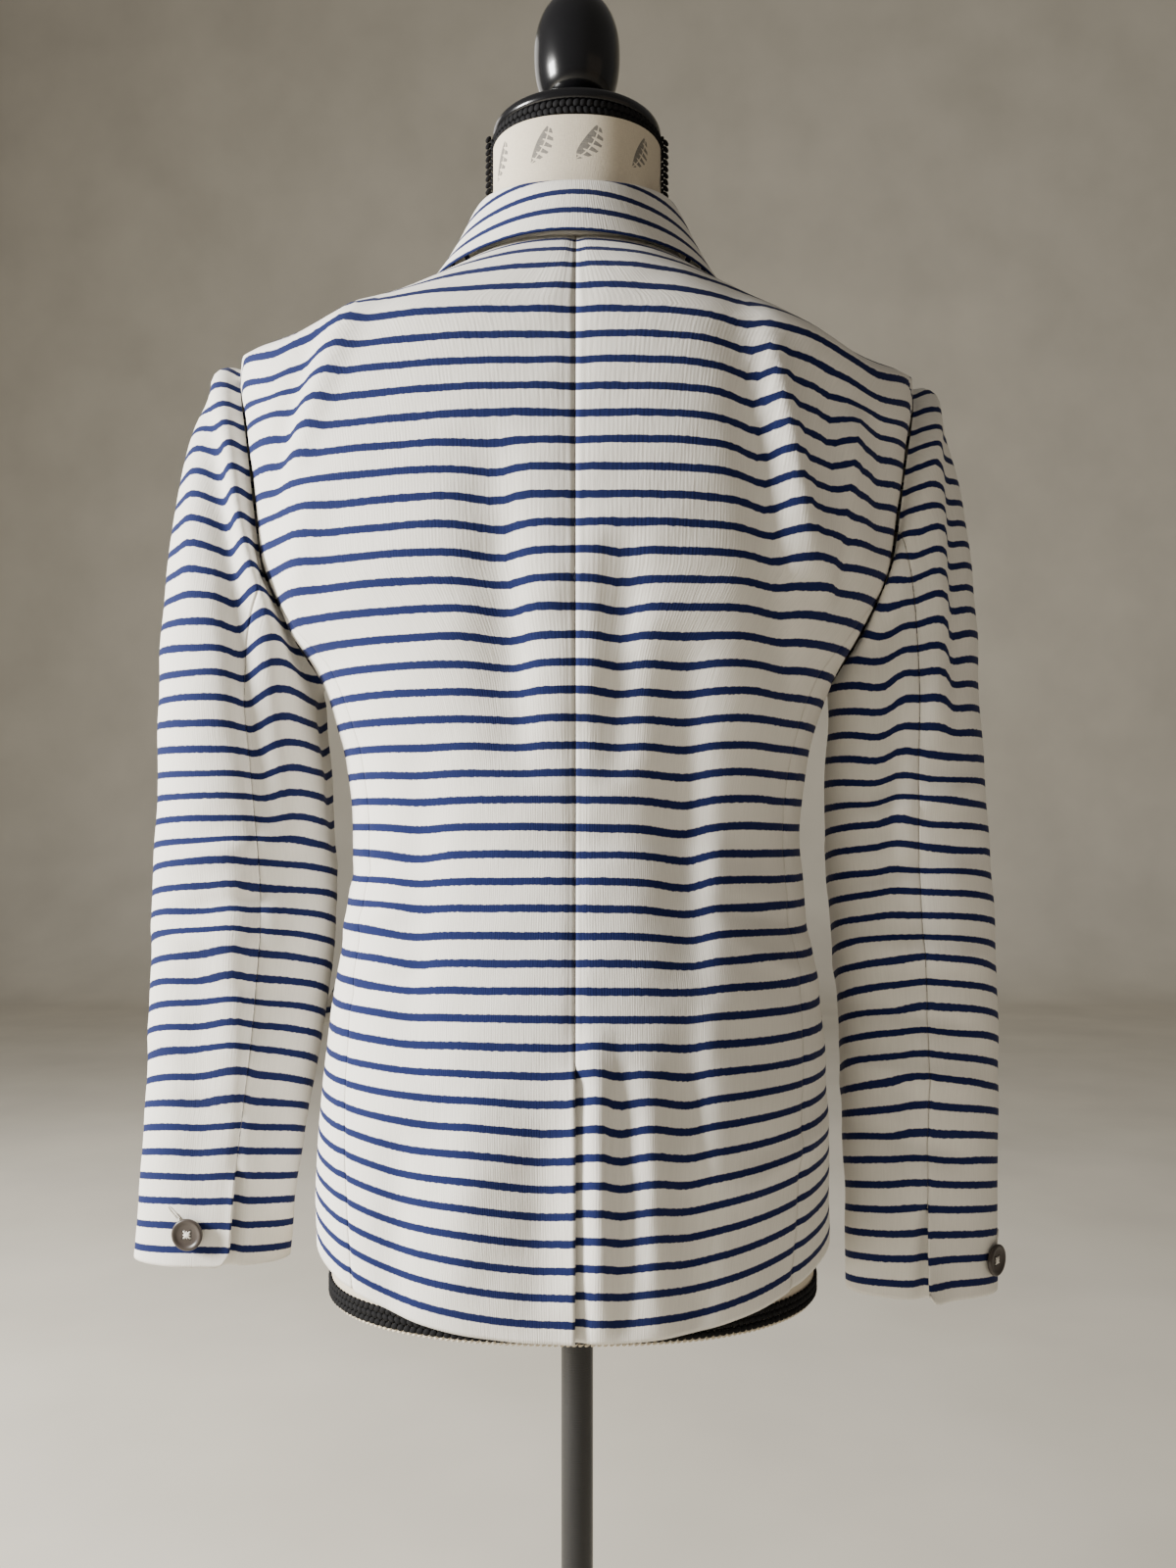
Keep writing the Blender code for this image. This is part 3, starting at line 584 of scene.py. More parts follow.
SIDE_BACK_SEAM = Curve((0.410, 0.500, 0.560, 0.630, 0.720, 0.780, SIDE_TOP_Z),
                       (50.0, 54.0, 57.0, 60.0, 60.0, 62.0, armhole_angle(SIDE_TOP_Z, False)))
SIDE_FRONT_SEAM = Curve((0.410, 0.780, SIDE_TOP_Z), (118.0, 116.0, armhole_angle(SIDE_TOP_Z, True)))


def panel_edge(z: float, front: bool) -> float:
    """The seam or armhole that ends a back or front panel at a height.

    Args:
        z: The height.
        front: True for a front panel, False for a back one.

    Returns:
        The angle in degrees from the centre back.
    """
    if z >= SHOULDER_Z:
        return 90.0
    if z >= SIDE_TOP_Z:
        return armhole_angle(z, front)
    return float((SIDE_FRONT_SEAM if front else SIDE_BACK_SEAM)(z))


def roll_angle(z: float) -> float:
    """The angle of the lapel's roll line at a height."""
    share = min(float(ROLL_LINE(z) / SECTIONS["half_width"](z)), 1.0)
    return 180.0 - math.degrees(math.asin(share ** (ROUNDNESS / 2.0)))


def degrees_for(distance: float, degrees: float, z: float) -> float:
    """The angle that a distance takes up along a section."""
    pair = ring_points(SECTIONS, np.array([degrees, degrees + 1.0]), np.array([z, z]))
    return distance / max(float(np.linalg.norm(pair[1] - pair[0])), 1e-6)


def seam_spacing(count: int, width: float) -> np.ndarray:
    """Shares across a panel, closer together at both seams.

    Args:
        count: Places between the narrow ones at the seams.
        width: The panel's width.

    Returns:
        The shares, from 0 to 1.
    """
    near = np.array([0.0, 0.0012, 0.0026, 0.0045, 0.0075]) / width
    inner = np.linspace(near[-1], 1.0 - near[-1], count)
    return np.concatenate([near[:-1], inner, 1.0 - near[:-1][::-1]])


def seam_dip(shares: np.ndarray, width: float) -> np.ndarray:
    """How far the cloth turns in towards its seams.

    Args:
        shares: Shares across the panel.
        width: The panel's width.

    Returns:
        How far each place stands off the surface, below zero.
    """
    start = np.exp(-(shares * width / SEAM_ROLL_WIDTH) ** 2)
    end = np.exp(-((1.0 - shares) * width / SEAM_ROLL_WIDTH) ** 2)
    return -SEAM_ROLL * (start + end)


def finer(rows: Sequence[float], step: float) -> np.ndarray:
    """Heights through fixed rows, no further apart than a step.

    Args:
        rows: The fixed rows, rising.
        step: The longest step.

    Returns:
        All the heights.
    """
    places = [rows[0]]
    for low, high in zip(rows[:-1], rows[1:]):
        count = max(int(math.ceil((high - low) / step)), 1)
        places += [low + (high - low) * (k + 1) / count for k in range(count)]
    return np.array(places)


def select_only(piece: bpy.types.Object) -> None:
    """Make one object the only selected and the active one.

    Args:
        piece: The object.
    """
    bpy.ops.object.select_all(action="DESELECT")
    piece.select_set(True)
    bpy.context.view_layer.objects.active = piece


def add_mesh(name: str, mesh: bpy.types.Mesh) -> bpy.types.Object:
    """Link a mesh as an object of the scene.

    Args:
        name: The object's name.
        mesh: Its mesh.

    Returns:
        The object.
    """
    piece = bpy.data.objects.new(name, mesh)
    bpy.context.scene.collection.objects.link(piece)
    return piece


def math_node(tree: bpy.types.NodeTree, operation: str, first: object, second: object = 0.0) -> object:
    """Add a math node.

    Args:
        tree: The tree it goes in.
        operation: The node's operation.
        first: A socket or a number.
        second: A socket or a number.

    Returns:
        The node's output socket.
    """
    node = tree.nodes.new("ShaderNodeMath")
    node.operation = operation
    for place, value in enumerate((first, second)):
        if isinstance(value, (int, float)):
            node.inputs[place].default_value = value
        else:
            tree.links.new(value, node.inputs[place])
    return node.outputs[0]


def noise_node(tree: bpy.types.NodeTree, vector: object, scale: Point, detail: float) -> object:
    """A noise stretched by a scale for each axis.

    Args:
        tree: The tree it goes in.
        vector: The socket that gives the place.
        scale: Turns a metre on each axis.
        detail: Octaves of the noise.

    Returns:
        The noise's output socket.
    """
    stretch = tree.nodes.new("ShaderNodeVectorMath")
    stretch.operation = "MULTIPLY"
    stretch.inputs[1].default_value = scale
    tree.links.new(vector, stretch.inputs[0])
    noise = tree.nodes.new("ShaderNodeTexNoise")
    noise.inputs["Scale"].default_value = 1.0
    noise.inputs["Detail"].default_value = detail
    tree.links.new(stretch.outputs[0], noise.inputs["Vector"])
    return noise.outputs["Fac"]


def mix_colours(tree: bpy.types.NodeTree, share: object, first: object, second: object,
                blend: str = "MIX") -> object:
    """Mix two colours, each a socket or a colour.

    Args:
        tree: The tree it goes in.
        share: Share of the second colour, a socket or a number.
        first: The first colour.
        second: The second colour.
        blend: The way they mix.

    Returns:
        The mixed colour's socket.
    """
    node = tree.nodes.new("ShaderNodeMix")
    node.data_type = "RGBA"
    node.blend_type = blend
    for place, value in ((0, share), (6, first), (7, second)):
        if isinstance(value, (int, float, tuple)):
            node.inputs[place].default_value = value
        else:
            tree.links.new(value, node.inputs[place])
    return node.outputs[2]


def shaded(tree: bpy.types.NodeTree, colour: object, light: object) -> object:
    """A colour made lighter or darker by a value.

    Args:
        tree: The tree it goes in.
        colour: The colour, a socket or a tuple.
        light: The value's socket.

    Returns:
        The colour's socket.
    """
    grey = tree.nodes.new("ShaderNodeCombineXYZ")
    for axis in range(3):
        tree.links.new(light, grey.inputs[axis])
    return mix_colours(tree, 1.0, colour, grey.outputs[0], "MULTIPLY")


def bumped(tree: bpy.types.NodeTree, height: object, strength: float, distance: float) -> object:
    """The normal of a surface raised by a height.

    Args:
        tree: The tree it goes in.
        height: The height's socket.
        strength: Strength of the bump.
        distance: Metres of a height of one.

    Returns:
        The normal's socket.
    """
    bump = tree.nodes.new("ShaderNodeBump")
    bump.inputs["Strength"].default_value = strength
    bump.inputs["Distance"].default_value = distance
    tree.links.new(height, bump.inputs["Height"])
    return bump.outputs["Normal"]


def cloth_map(tree: bpy.types.NodeTree) -> object:
    """The UV map that holds metres of cloth.

    Args:
        tree: The tree it goes in.

    Returns:
        The map's output socket.
    """
    uv = tree.nodes.new("ShaderNodeUVMap")
    uv.uv_map = UV_NAME
    return uv.outputs["UV"]


def flat_axes(tree: bpy.types.NodeTree, vector: object) -> tuple[object, object]:
    """The first two axes of a vector.

    Args:
        tree: The tree it goes in.
        vector: The vector's socket.

    Returns:
        The sockets of X and Y.
    """
    split = tree.nodes.new("ShaderNodeSeparateXYZ")
    tree.links.new(vector, split.inputs[0])
    return split.outputs[0], split.outputs[1]


def new_material(name: str, values: dict[str, object]) -> tuple[bpy.types.Material, bpy.types.Node]:
    """Make a material with values for its shader.

    Args:
        name: The material's name.
        values: The value of each named input of the shader.

    Returns:
        The material and its shader.
    """
    finish = bpy.data.materials.new(name)
    finish.use_nodes = True
    shader = finish.node_tree.nodes["Principled BSDF"]
    for place, value in values.items():
        shader.inputs[place].default_value = value
    return finish, shader


def new_group(name: str, inputs: dict[str, str], outputs: dict[str, str]) -> tuple:
    """Make a node group.

    Args:
        name: The group's name.
        inputs: The kind of each named input.
        outputs: The kind of each named output.

    Returns:
        The group, its input node and its output node.
    """
    tree = bpy.data.node_groups.new(name, "ShaderNodeTree")
    for way, sockets in (("INPUT", inputs), ("OUTPUT", outputs)):
        for label, kind in sockets.items():
            tree.interface.new_socket(label, in_out=way, socket_type=f"NodeSocket{kind}")
    return tree, tree.nodes.new("NodeGroupInput"), tree.nodes.new("NodeGroupOutput")


def knit_group() -> bpy.types.NodeTree:
    """The shared node group of the striped, faintly ribbed and slubby jersey.

    Returns:
        The group, the same one at every call.
    """
    known = bpy.data.node_groups.get("Striped jersey")
    if known is not None:
        return known
    inputs = {"Vector": "Vector", "Cream": "Color", "Navy": "Color", "Start": "Float", "Striped": "Float"}
    tree, given, made = new_group("Striped jersey", inputs, {"Colour": "Color", "Normal": "Vector"})
    maths = partial(math_node, tree)
    vector = given.outputs["Vector"]
    across, along = flat_axes(tree, vector)
    shake = maths("SUBTRACT", noise_node(tree, vector, (420.0, 420.0, 1.0), 2.0), 0.5)
    shaken = maths("ADD", along, maths("MULTIPLY", shake, STRIPE_EDGE_SHAKE))
    turns = maths("DIVIDE", maths("SUBTRACT", shaken, given.outputs["Start"]), STRIPE_PITCH)
    offset = maths("ABSOLUTE", maths("SUBTRACT", turns, maths("ROUND", turns)))
    soft = tree.nodes.new("ShaderNodeMapRange")
    soft.interpolation_type = "SMOOTHSTEP"
    soft.inputs["From Min"].default_value = STRIPE_WIDTH / 2.0 - 0.00035
    soft.inputs["From Max"].default_value = STRIPE_WIDTH / 2.0 + 0.00025
    soft.inputs["To Min"].default_value = 1.0
    soft.inputs["To Max"].default_value = 0.0
    tree.links.new(maths("MULTIPLY", offset, STRIPE_PITCH), soft.inputs["Value"])
    mask = maths("MULTIPLY", soft.outputs["Result"], given.outputs["Striped"])
    slub = noise_node(tree, vector, (900.0, 70.0, 1.0), 3.0)
    cloud = noise_node(tree, vector, (22.0, 16.0, 1.0), 2.0)
    shade = maths("ADD", maths("MULTIPLY", slub, 0.16), maths("MULTIPLY", cloud, 0.10))
    ground = shaded(tree, given.outputs["Cream"], maths("ADD", shade, 0.87))
    ink = mix_colours(tree, maths("MULTIPLY", slub, 0.30), given.outputs["Navy"], WORN_NAVY)
    tree.links.new(mix_colours(tree, mask, ground, ink), made.inputs["Colour"])
    rib = maths("SINE", maths("MULTIPLY", across, math.tau / RIB_PITCH))
    height = maths("ADD", maths("MULTIPLY", rib, 0.10), slub)
    tree.links.new(bumped(tree, height, 0.35, 0.0005), made.inputs["Normal"])
    return tree


@dataclass(frozen=True)
class KnitFinish:
    """Cream cotton jersey with narrow navy stripes.

    Args:
        name: The material's name.
        start: Length of cloth from its low edge to the first stripe's middle.
        striped: False for cloth whose stripes don't show.
        cream: Colour of the ground.
        navy: Colour of the stripes.
    """
    name: str
    start: float
    striped: bool = True
    cream: Colour = (0.83, 0.80, 0.735, 1.0)
    navy: Colour = (0.003, 0.009, 0.070, 1.0)

    def build(self) -> bpy.types.Material:
        """Make the material around the shared knit group.

        Returns:
            The material.
        """
        finish, shader = new_material(self.name, {
            "Roughness": 0.88, "Sheen Weight": 0.04, "Sheen Roughness": 0.5, "Specular IOR Level": 0.25})
        tree = finish.node_tree
        group = tree.nodes.new("ShaderNodeGroup")
        group.node_tree = knit_group()
        for place, value in (("Cream", self.cream), ("Navy", self.navy), ("Start", self.start),
                             ("Striped", float(self.striped))):
            group.inputs[place].default_value = value
        tree.links.new(cloth_map(tree), group.inputs["Vector"])
        tree.links.new(group.outputs["Colour"], shader.inputs["Base Color"])
        tree.links.new(group.outputs["Normal"], shader.inputs["Normal"])
        return finish


@dataclass
class ClothGrid:
    """A grid of places on one cloth piece.

    Args:
        points: Rows of points.
        across: Metres across the knit at each point.
        along: Metres along the knit at each point.
        shown: False where the grid has no cloth.
    """
    points: np.ndarray
    across: np.ndarray
    along: np.ndarray
    shown: np.ndarray

    def build(self, name: str, nodes: Sequence[str], finish: bpy.types.Material, outward: Callable,
              wall: float = CLOTH_WALL) -> bpy.types.Object:
        """Make the shell.

        Args:
            name: The piece's name.
            nodes: The solids that it stands for.
            finish: Its material.
            outward: Gives the outward direction at a point.
            wall: The cloth's thickness.

        Returns:
            The piece.
        """
        number = -np.ones(self.shown.shape, int)
        number[self.shown] = np.arange(int(self.shown.sum()))
        quads = np.stack([number[:-1, :-1], number[:-1, 1:], number[1:, 1:], number[1:, :-1]], axis=-1)
        quads = quads.reshape(-1, 4)
        quads = quads[(quads >= 0).all(axis=1)]
        points = self.points[self.shown]
        corners = points[quads]
        normals = np.cross(corners[:, 2] - corners[:, 0], corners[:, 3] - corners[:, 1])
        if float(np.sum(normals * outward(corners.mean(axis=1)))) < 0.0:
            quads = quads[:, ::-1]
        mesh = bpy.data.meshes.new(name)
        mesh.from_pydata(points.tolist(), [], quads.tolist())
        layer = mesh.uv_layers.new(name=UV_NAME)
        places = np.stack([self.across[self.shown], self.along[self.shown]], axis=-1)
        layer.data.foreach_set("uv", places[quads.reshape(-1)].reshape(-1))
        mesh.materials.append(finish)
        mesh.shade_smooth()
        piece = add_mesh(name, mesh)
        shell = piece.modifiers.new("Wall", "SOLIDIFY")
        shell.thickness = wall
        shell.offset = -1.0
        shell.use_rim = True
        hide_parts(*nodes)
        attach(piece, "root")
        area = 0.5 * float(np.linalg.norm(normals, axis=1).sum())
        LOG.info("%s: %d faces, %.4f square metres", name, len(quads), area)
        return piece


def from_middle(points: np.ndarray) -> np.ndarray:
    """Direction from the body's middle line."""
    return points * np.array([1.0, 1.0, 0.0])


@dataclass
class Body:
    """The blazer's back, side and front panels with their flaps and lapels."""
    finish: bpy.types.Material
    rows: np.ndarray = field(default_factory=lambda: finer(
        (HEM_ROW_Z, HEM_FOLD_Z, 0.45, VENT_TOP_Z, 0.700, BREAK_Z, ARM_LOW_Z, SIDE_TOP_Z, 0.950, 0.981,
         SHOULDER_Z, 1.014, 1.036, TOP_Z), ROW_STEP))
    # Widths across the knit
    back_width: float = 0.18
    side_width: float = 0.10
    front_width: float = 0.16
    # Centre vent
    vent_underlap: float = 0.035
    lap_dip: float = 0.0030
    vent_lift: float = 0.0009
    vent_lift_width: float = 0.006
    vent_blend: float = 0.012
    vent_ease: float = 0.004
    # Front closure
    front_lap: float = 0.024
    front_lap_dip: float = 0.0026
    front_lap_lift: float = 0.0010
    front_lap_blend: float = 0.012
    # Panel under the arm
    side_curve_z: float = 0.745
    # Lapels
    lapel_low_z: float = 0.762
    lapel_top_z: float = 0.968
    lapel_low_width: float = 0.006
    lapel_widening: float = 0.060
    lapel_out: float = 0.0030
    lapel_round: float = 0.0016
    # Pocket flaps
    flap_top_z: float = 0.622
    flap_width: float = 0.080
    flap_drop: float = 0.048
    flap_corner: float = 0.008
    flap_out: float = 0.0026
    flap_degrees: tuple[float, float] = (96.0, 140.0)

    def panel(self, kind: str, side: Side, degrees: np.ndarray, z: np.ndarray, out: np.ndarray,
              across: np.ndarray, shown: np.ndarray | None = None) -> bpy.types.Object:
        """Lay a panel on the worn surface and build it.

        Args:
            kind: The panel's name without its side.
            side: The side it is on.
            degrees: Angles of its points from the centre back.
            z: Their heights.
            out: How far they stand off the surface.
            across: Metres across the knit.
            shown: False where the grid has no cloth.

        Returns:
            The piece.
        """
        degrees, z, out, across = np.broadcast_arrays(degrees, z, out, across)
        points = WORN.points(side.value * degrees, z, out)
        plain = ring_points(SECTIONS, side.value * degrees, hem_height(degrees, z))
        along = WORN.along(degrees, z) - SLACK * WORN.form(plain)
        grid = ClothGrid(points, across, along, np.ones(z.shape, bool) if shown is None else shown)
        return grid.build(f"cloth_{kind}_{side.word}", [f"{kind}_{side.word}"], self.finish, from_middle)

    def back(self, side: Side) -> bpy.types.Object:
        """One half of the back; the left one laps over the right one at the vent.

        Args:
            side: The side it is on.

        Returns:
            The piece.
        """
        shares = seam_spacing(34, self.back_width)
        here = shares * self.back_width
        dip = seam_dip(shares, self.back_width)
        near = np.exp(-(here / SEAM_ROLL_WIDTH) ** 2)
        if side is Side.LEFT:
            under = np.array([])
            lap = self.vent_lift * np.exp(-(here / self.vent_lift_width) ** 2)
        else:
            under = np.array([-1.0, -0.8, -0.6, -0.4, -0.25, -0.12, -0.04]) * self.vent_underlap
            lap = -self.lap_dip * (1.0 - soft_step(here / LAP_BLEND))
        extra = len(under)
        shape = (len(self.rows), extra + len(shares))
        degrees, out, shown = np.zeros(shape), np.full(shape, -self.lap_dip), np.ones(shape, bool)
        for i, z in enumerate(self.rows):
            middle = degrees_for(SEAM_GAP, 0.0, z)
            edge = panel_edge(z, False)
            edge -= degrees_for(SEAM_GAP, edge - 1.0, z)
            vent = soft_step((VENT_TOP_Z + self.vent_ease - z) / self.vent_blend)
            degrees[i, :extra] = degrees_for(1.0, 0.0, z) * under
            degrees[i, extra:] = middle + (edge - middle) * shares
            out[i, extra:] = dip + vent * (SEAM_ROLL * near + lap)
            shown[i, :extra] = z <= VENT_TOP_Z - self.vent_ease
        across = np.concatenate([under, here]) + 0.5
        return self.panel("back", side, degrees, self.rows[:, None], out, across, shown)

    def under_arm(self, side: Side) -> bpy.types.Object:
        """The side panel, whose top follows the low part of the armhole.

        Args:
            side: The side it is on.

        Returns:
            The piece.
        """
        shares = seam_spacing(18, self.side_width)
        rows = finer((HEM_ROW_Z, HEM_FOLD_Z, 0.45, 0.60, self.side_curve_z, ARM_LOW_Z, SIDE_TOP_Z), ROW_STEP)
        degrees, heights = np.zeros((len(rows), len(shares))), np.zeros((len(rows), len(shares)))
        low = ARM_LOW_Z - 0.0005
        top = low + (SIDE_TOP_Z - low) * np.abs(2.0 * shares - 1.0) ** 2.2
        for i, z in enumerate(rows):
            heights[i] = z
            if z > self.side_curve_z:
                rise = (top - self.side_curve_z) / (SIDE_TOP_Z - self.side_curve_z)
                heights[i] = self.side_curve_z + (z - self.side_curve_z) * rise
            for j, share in enumerate(shares):
                height = heights[i, j]
                back, front = panel_edge(height, False), panel_edge(height, True)
                back += degrees_for(SEAM_GAP, back, height)
                front -= degrees_for(SEAM_GAP, front - 1.0, height)
                degrees[i, j] = back + (front - back) * share
        across = shares * self.side_width
        return self.panel("side", side, degrees, heights, seam_dip(shares, self.side_width), across)

    def front(self, side: Side) -> bpy.types.Object:
        """One front; the left one passes under the right one below the break.

        Args:
            side: The side it is on.

        Returns:
            The piece.
        """
        shares = seam_spacing(34, self.front_width)
        here = shares * self.front_width
        far = (1.0 - shares) * self.front_width
        dip = -SEAM_ROLL * np.exp(-(here / SEAM_ROLL_WIDTH) ** 2)
        if side is Side.LEFT:
            lap = -self.front_lap_dip * (1.0 - soft_step((far - self.front_lap) / self.front_lap_blend))
        else:
            lap = self.front_lap_lift * np.exp(-(far / LAP_BLEND) ** 2)
        degrees, out = np.zeros((len(self.rows), len(shares))), np.zeros((len(self.rows), len(shares)))
        for i, z in enumerate(self.rows):
            edge = panel_edge(z, True)
            edge += degrees_for(SEAM_GAP, edge, z)
            closed = 180.0 + degrees_for(self.front_lap / 2.0, 176.0, z)
            blend = soft_step((z - BREAK_Z + 0.022) / 0.030)
            last = closed + (roll_angle(z) - closed) * blend
            degrees[i] = edge + (last - edge) * shares
            out[i] = dip + lap * (1.0 - 0.8 * blend)
        return self.panel("front", side, degrees, self.rows[:, None], out, here)

    def lapel(self, side: Side) -> bpy.types.Object:
        """The front's folded top, soft along its roll line.

        Args:
            side: The side it is on.

        Returns:
            The piece.
        """
        rows = finer((self.lapel_low_z, 0.800, self.lapel_top_z), FINE_ROW_STEP)
        shares = np.linspace(0.0, 1.0, 22)
        degrees, across = np.zeros((len(rows), len(shares))), np.zeros((len(rows), len(shares)))
        out = self.lapel_out + self.lapel_round * np.sin(math.pi * np.minimum(shares * 1.6, 1.0))
        for i, z in enumerate(rows):
            rise = (z - rows[0]) / (rows[-1] - rows[0])
            width = self.lapel_low_width + self.lapel_widening * rise ** 0.8
            roll = roll_angle(z)
            degrees[i] = roll + 0.4 - degrees_for(width, roll - 6.0, z) * shares
            across[i] = shares * width
        return self.panel("lapel", side, degrees, rows[:, None], out, across)

    def flap(self, side: Side) -> bpy.types.Object:
        """A pocket flap whose back corner stands off the hip.

        Args:
            side: The side it is on.

        Returns:
            The piece.
        """
        drops = np.linspace(0.0, self.flap_drop, 22)[:, None]
        shares = np.linspace(0.0, 1.0, 26)
        first, last = self.flap_degrees
        degrees = first + (last - first) * shares
        down = drops / drops[-1]
        lift = FLAP_LIFT[side]
        corner = np.minimum(shares, 1.0 - shares) * self.flap_width
        rounding = self.flap_corner * (1.0 - np.clip(corner / self.flap_corner, 0.0, 1.0)) ** 2
        z = self.flap_top_z - np.minimum(drops, self.flap_drop - rounding)
        out = self.flap_out + lift * down ** 1.5 * (1.0 - shares) ** 2 + 0.0004 * down
        return self.panel("flap", side, degrees, z, out, shares * self.flap_width)

    def build(self) -> list[bpy.types.Object]:
        """Make every panel of the body."""
        makers = (self.back, self.under_arm, self.front, self.lapel, self.flap)
        return [make(side) for side in Side for make in makers]


def armhole_points(degrees: np.ndarray) -> np.ndarray:
    """Points of the armhole; 0 is the armpit, 90 the back, 180 the shoulder.

    Args:
        degrees: Angles round the armhole.

    Returns:
        The points, on the wearer's left.
    """
    angle = np.radians(degrees)
    middle, half = (ARM_LOW_Z + SHOULDER_Z) / 2.0, (SHOULDER_Z - ARM_LOW_Z) / 2.0 - ARM_EASE
    z = middle - half * np.cos(angle)
    y = (ARM_HALF_DEPTH - ARM_EASE) * np.sin(angle)
    depth = np.where(y > 0.0, SECTIONS["back"](z), SECTIONS["front"](z))
    x = SECTIONS["half_width"](z) * (1.0 - (np.abs(y) / depth) ** ROUNDNESS) ** (1.0 / ROUNDNESS)
    return np.stack([x + 0.0002, y, z], axis=-1)


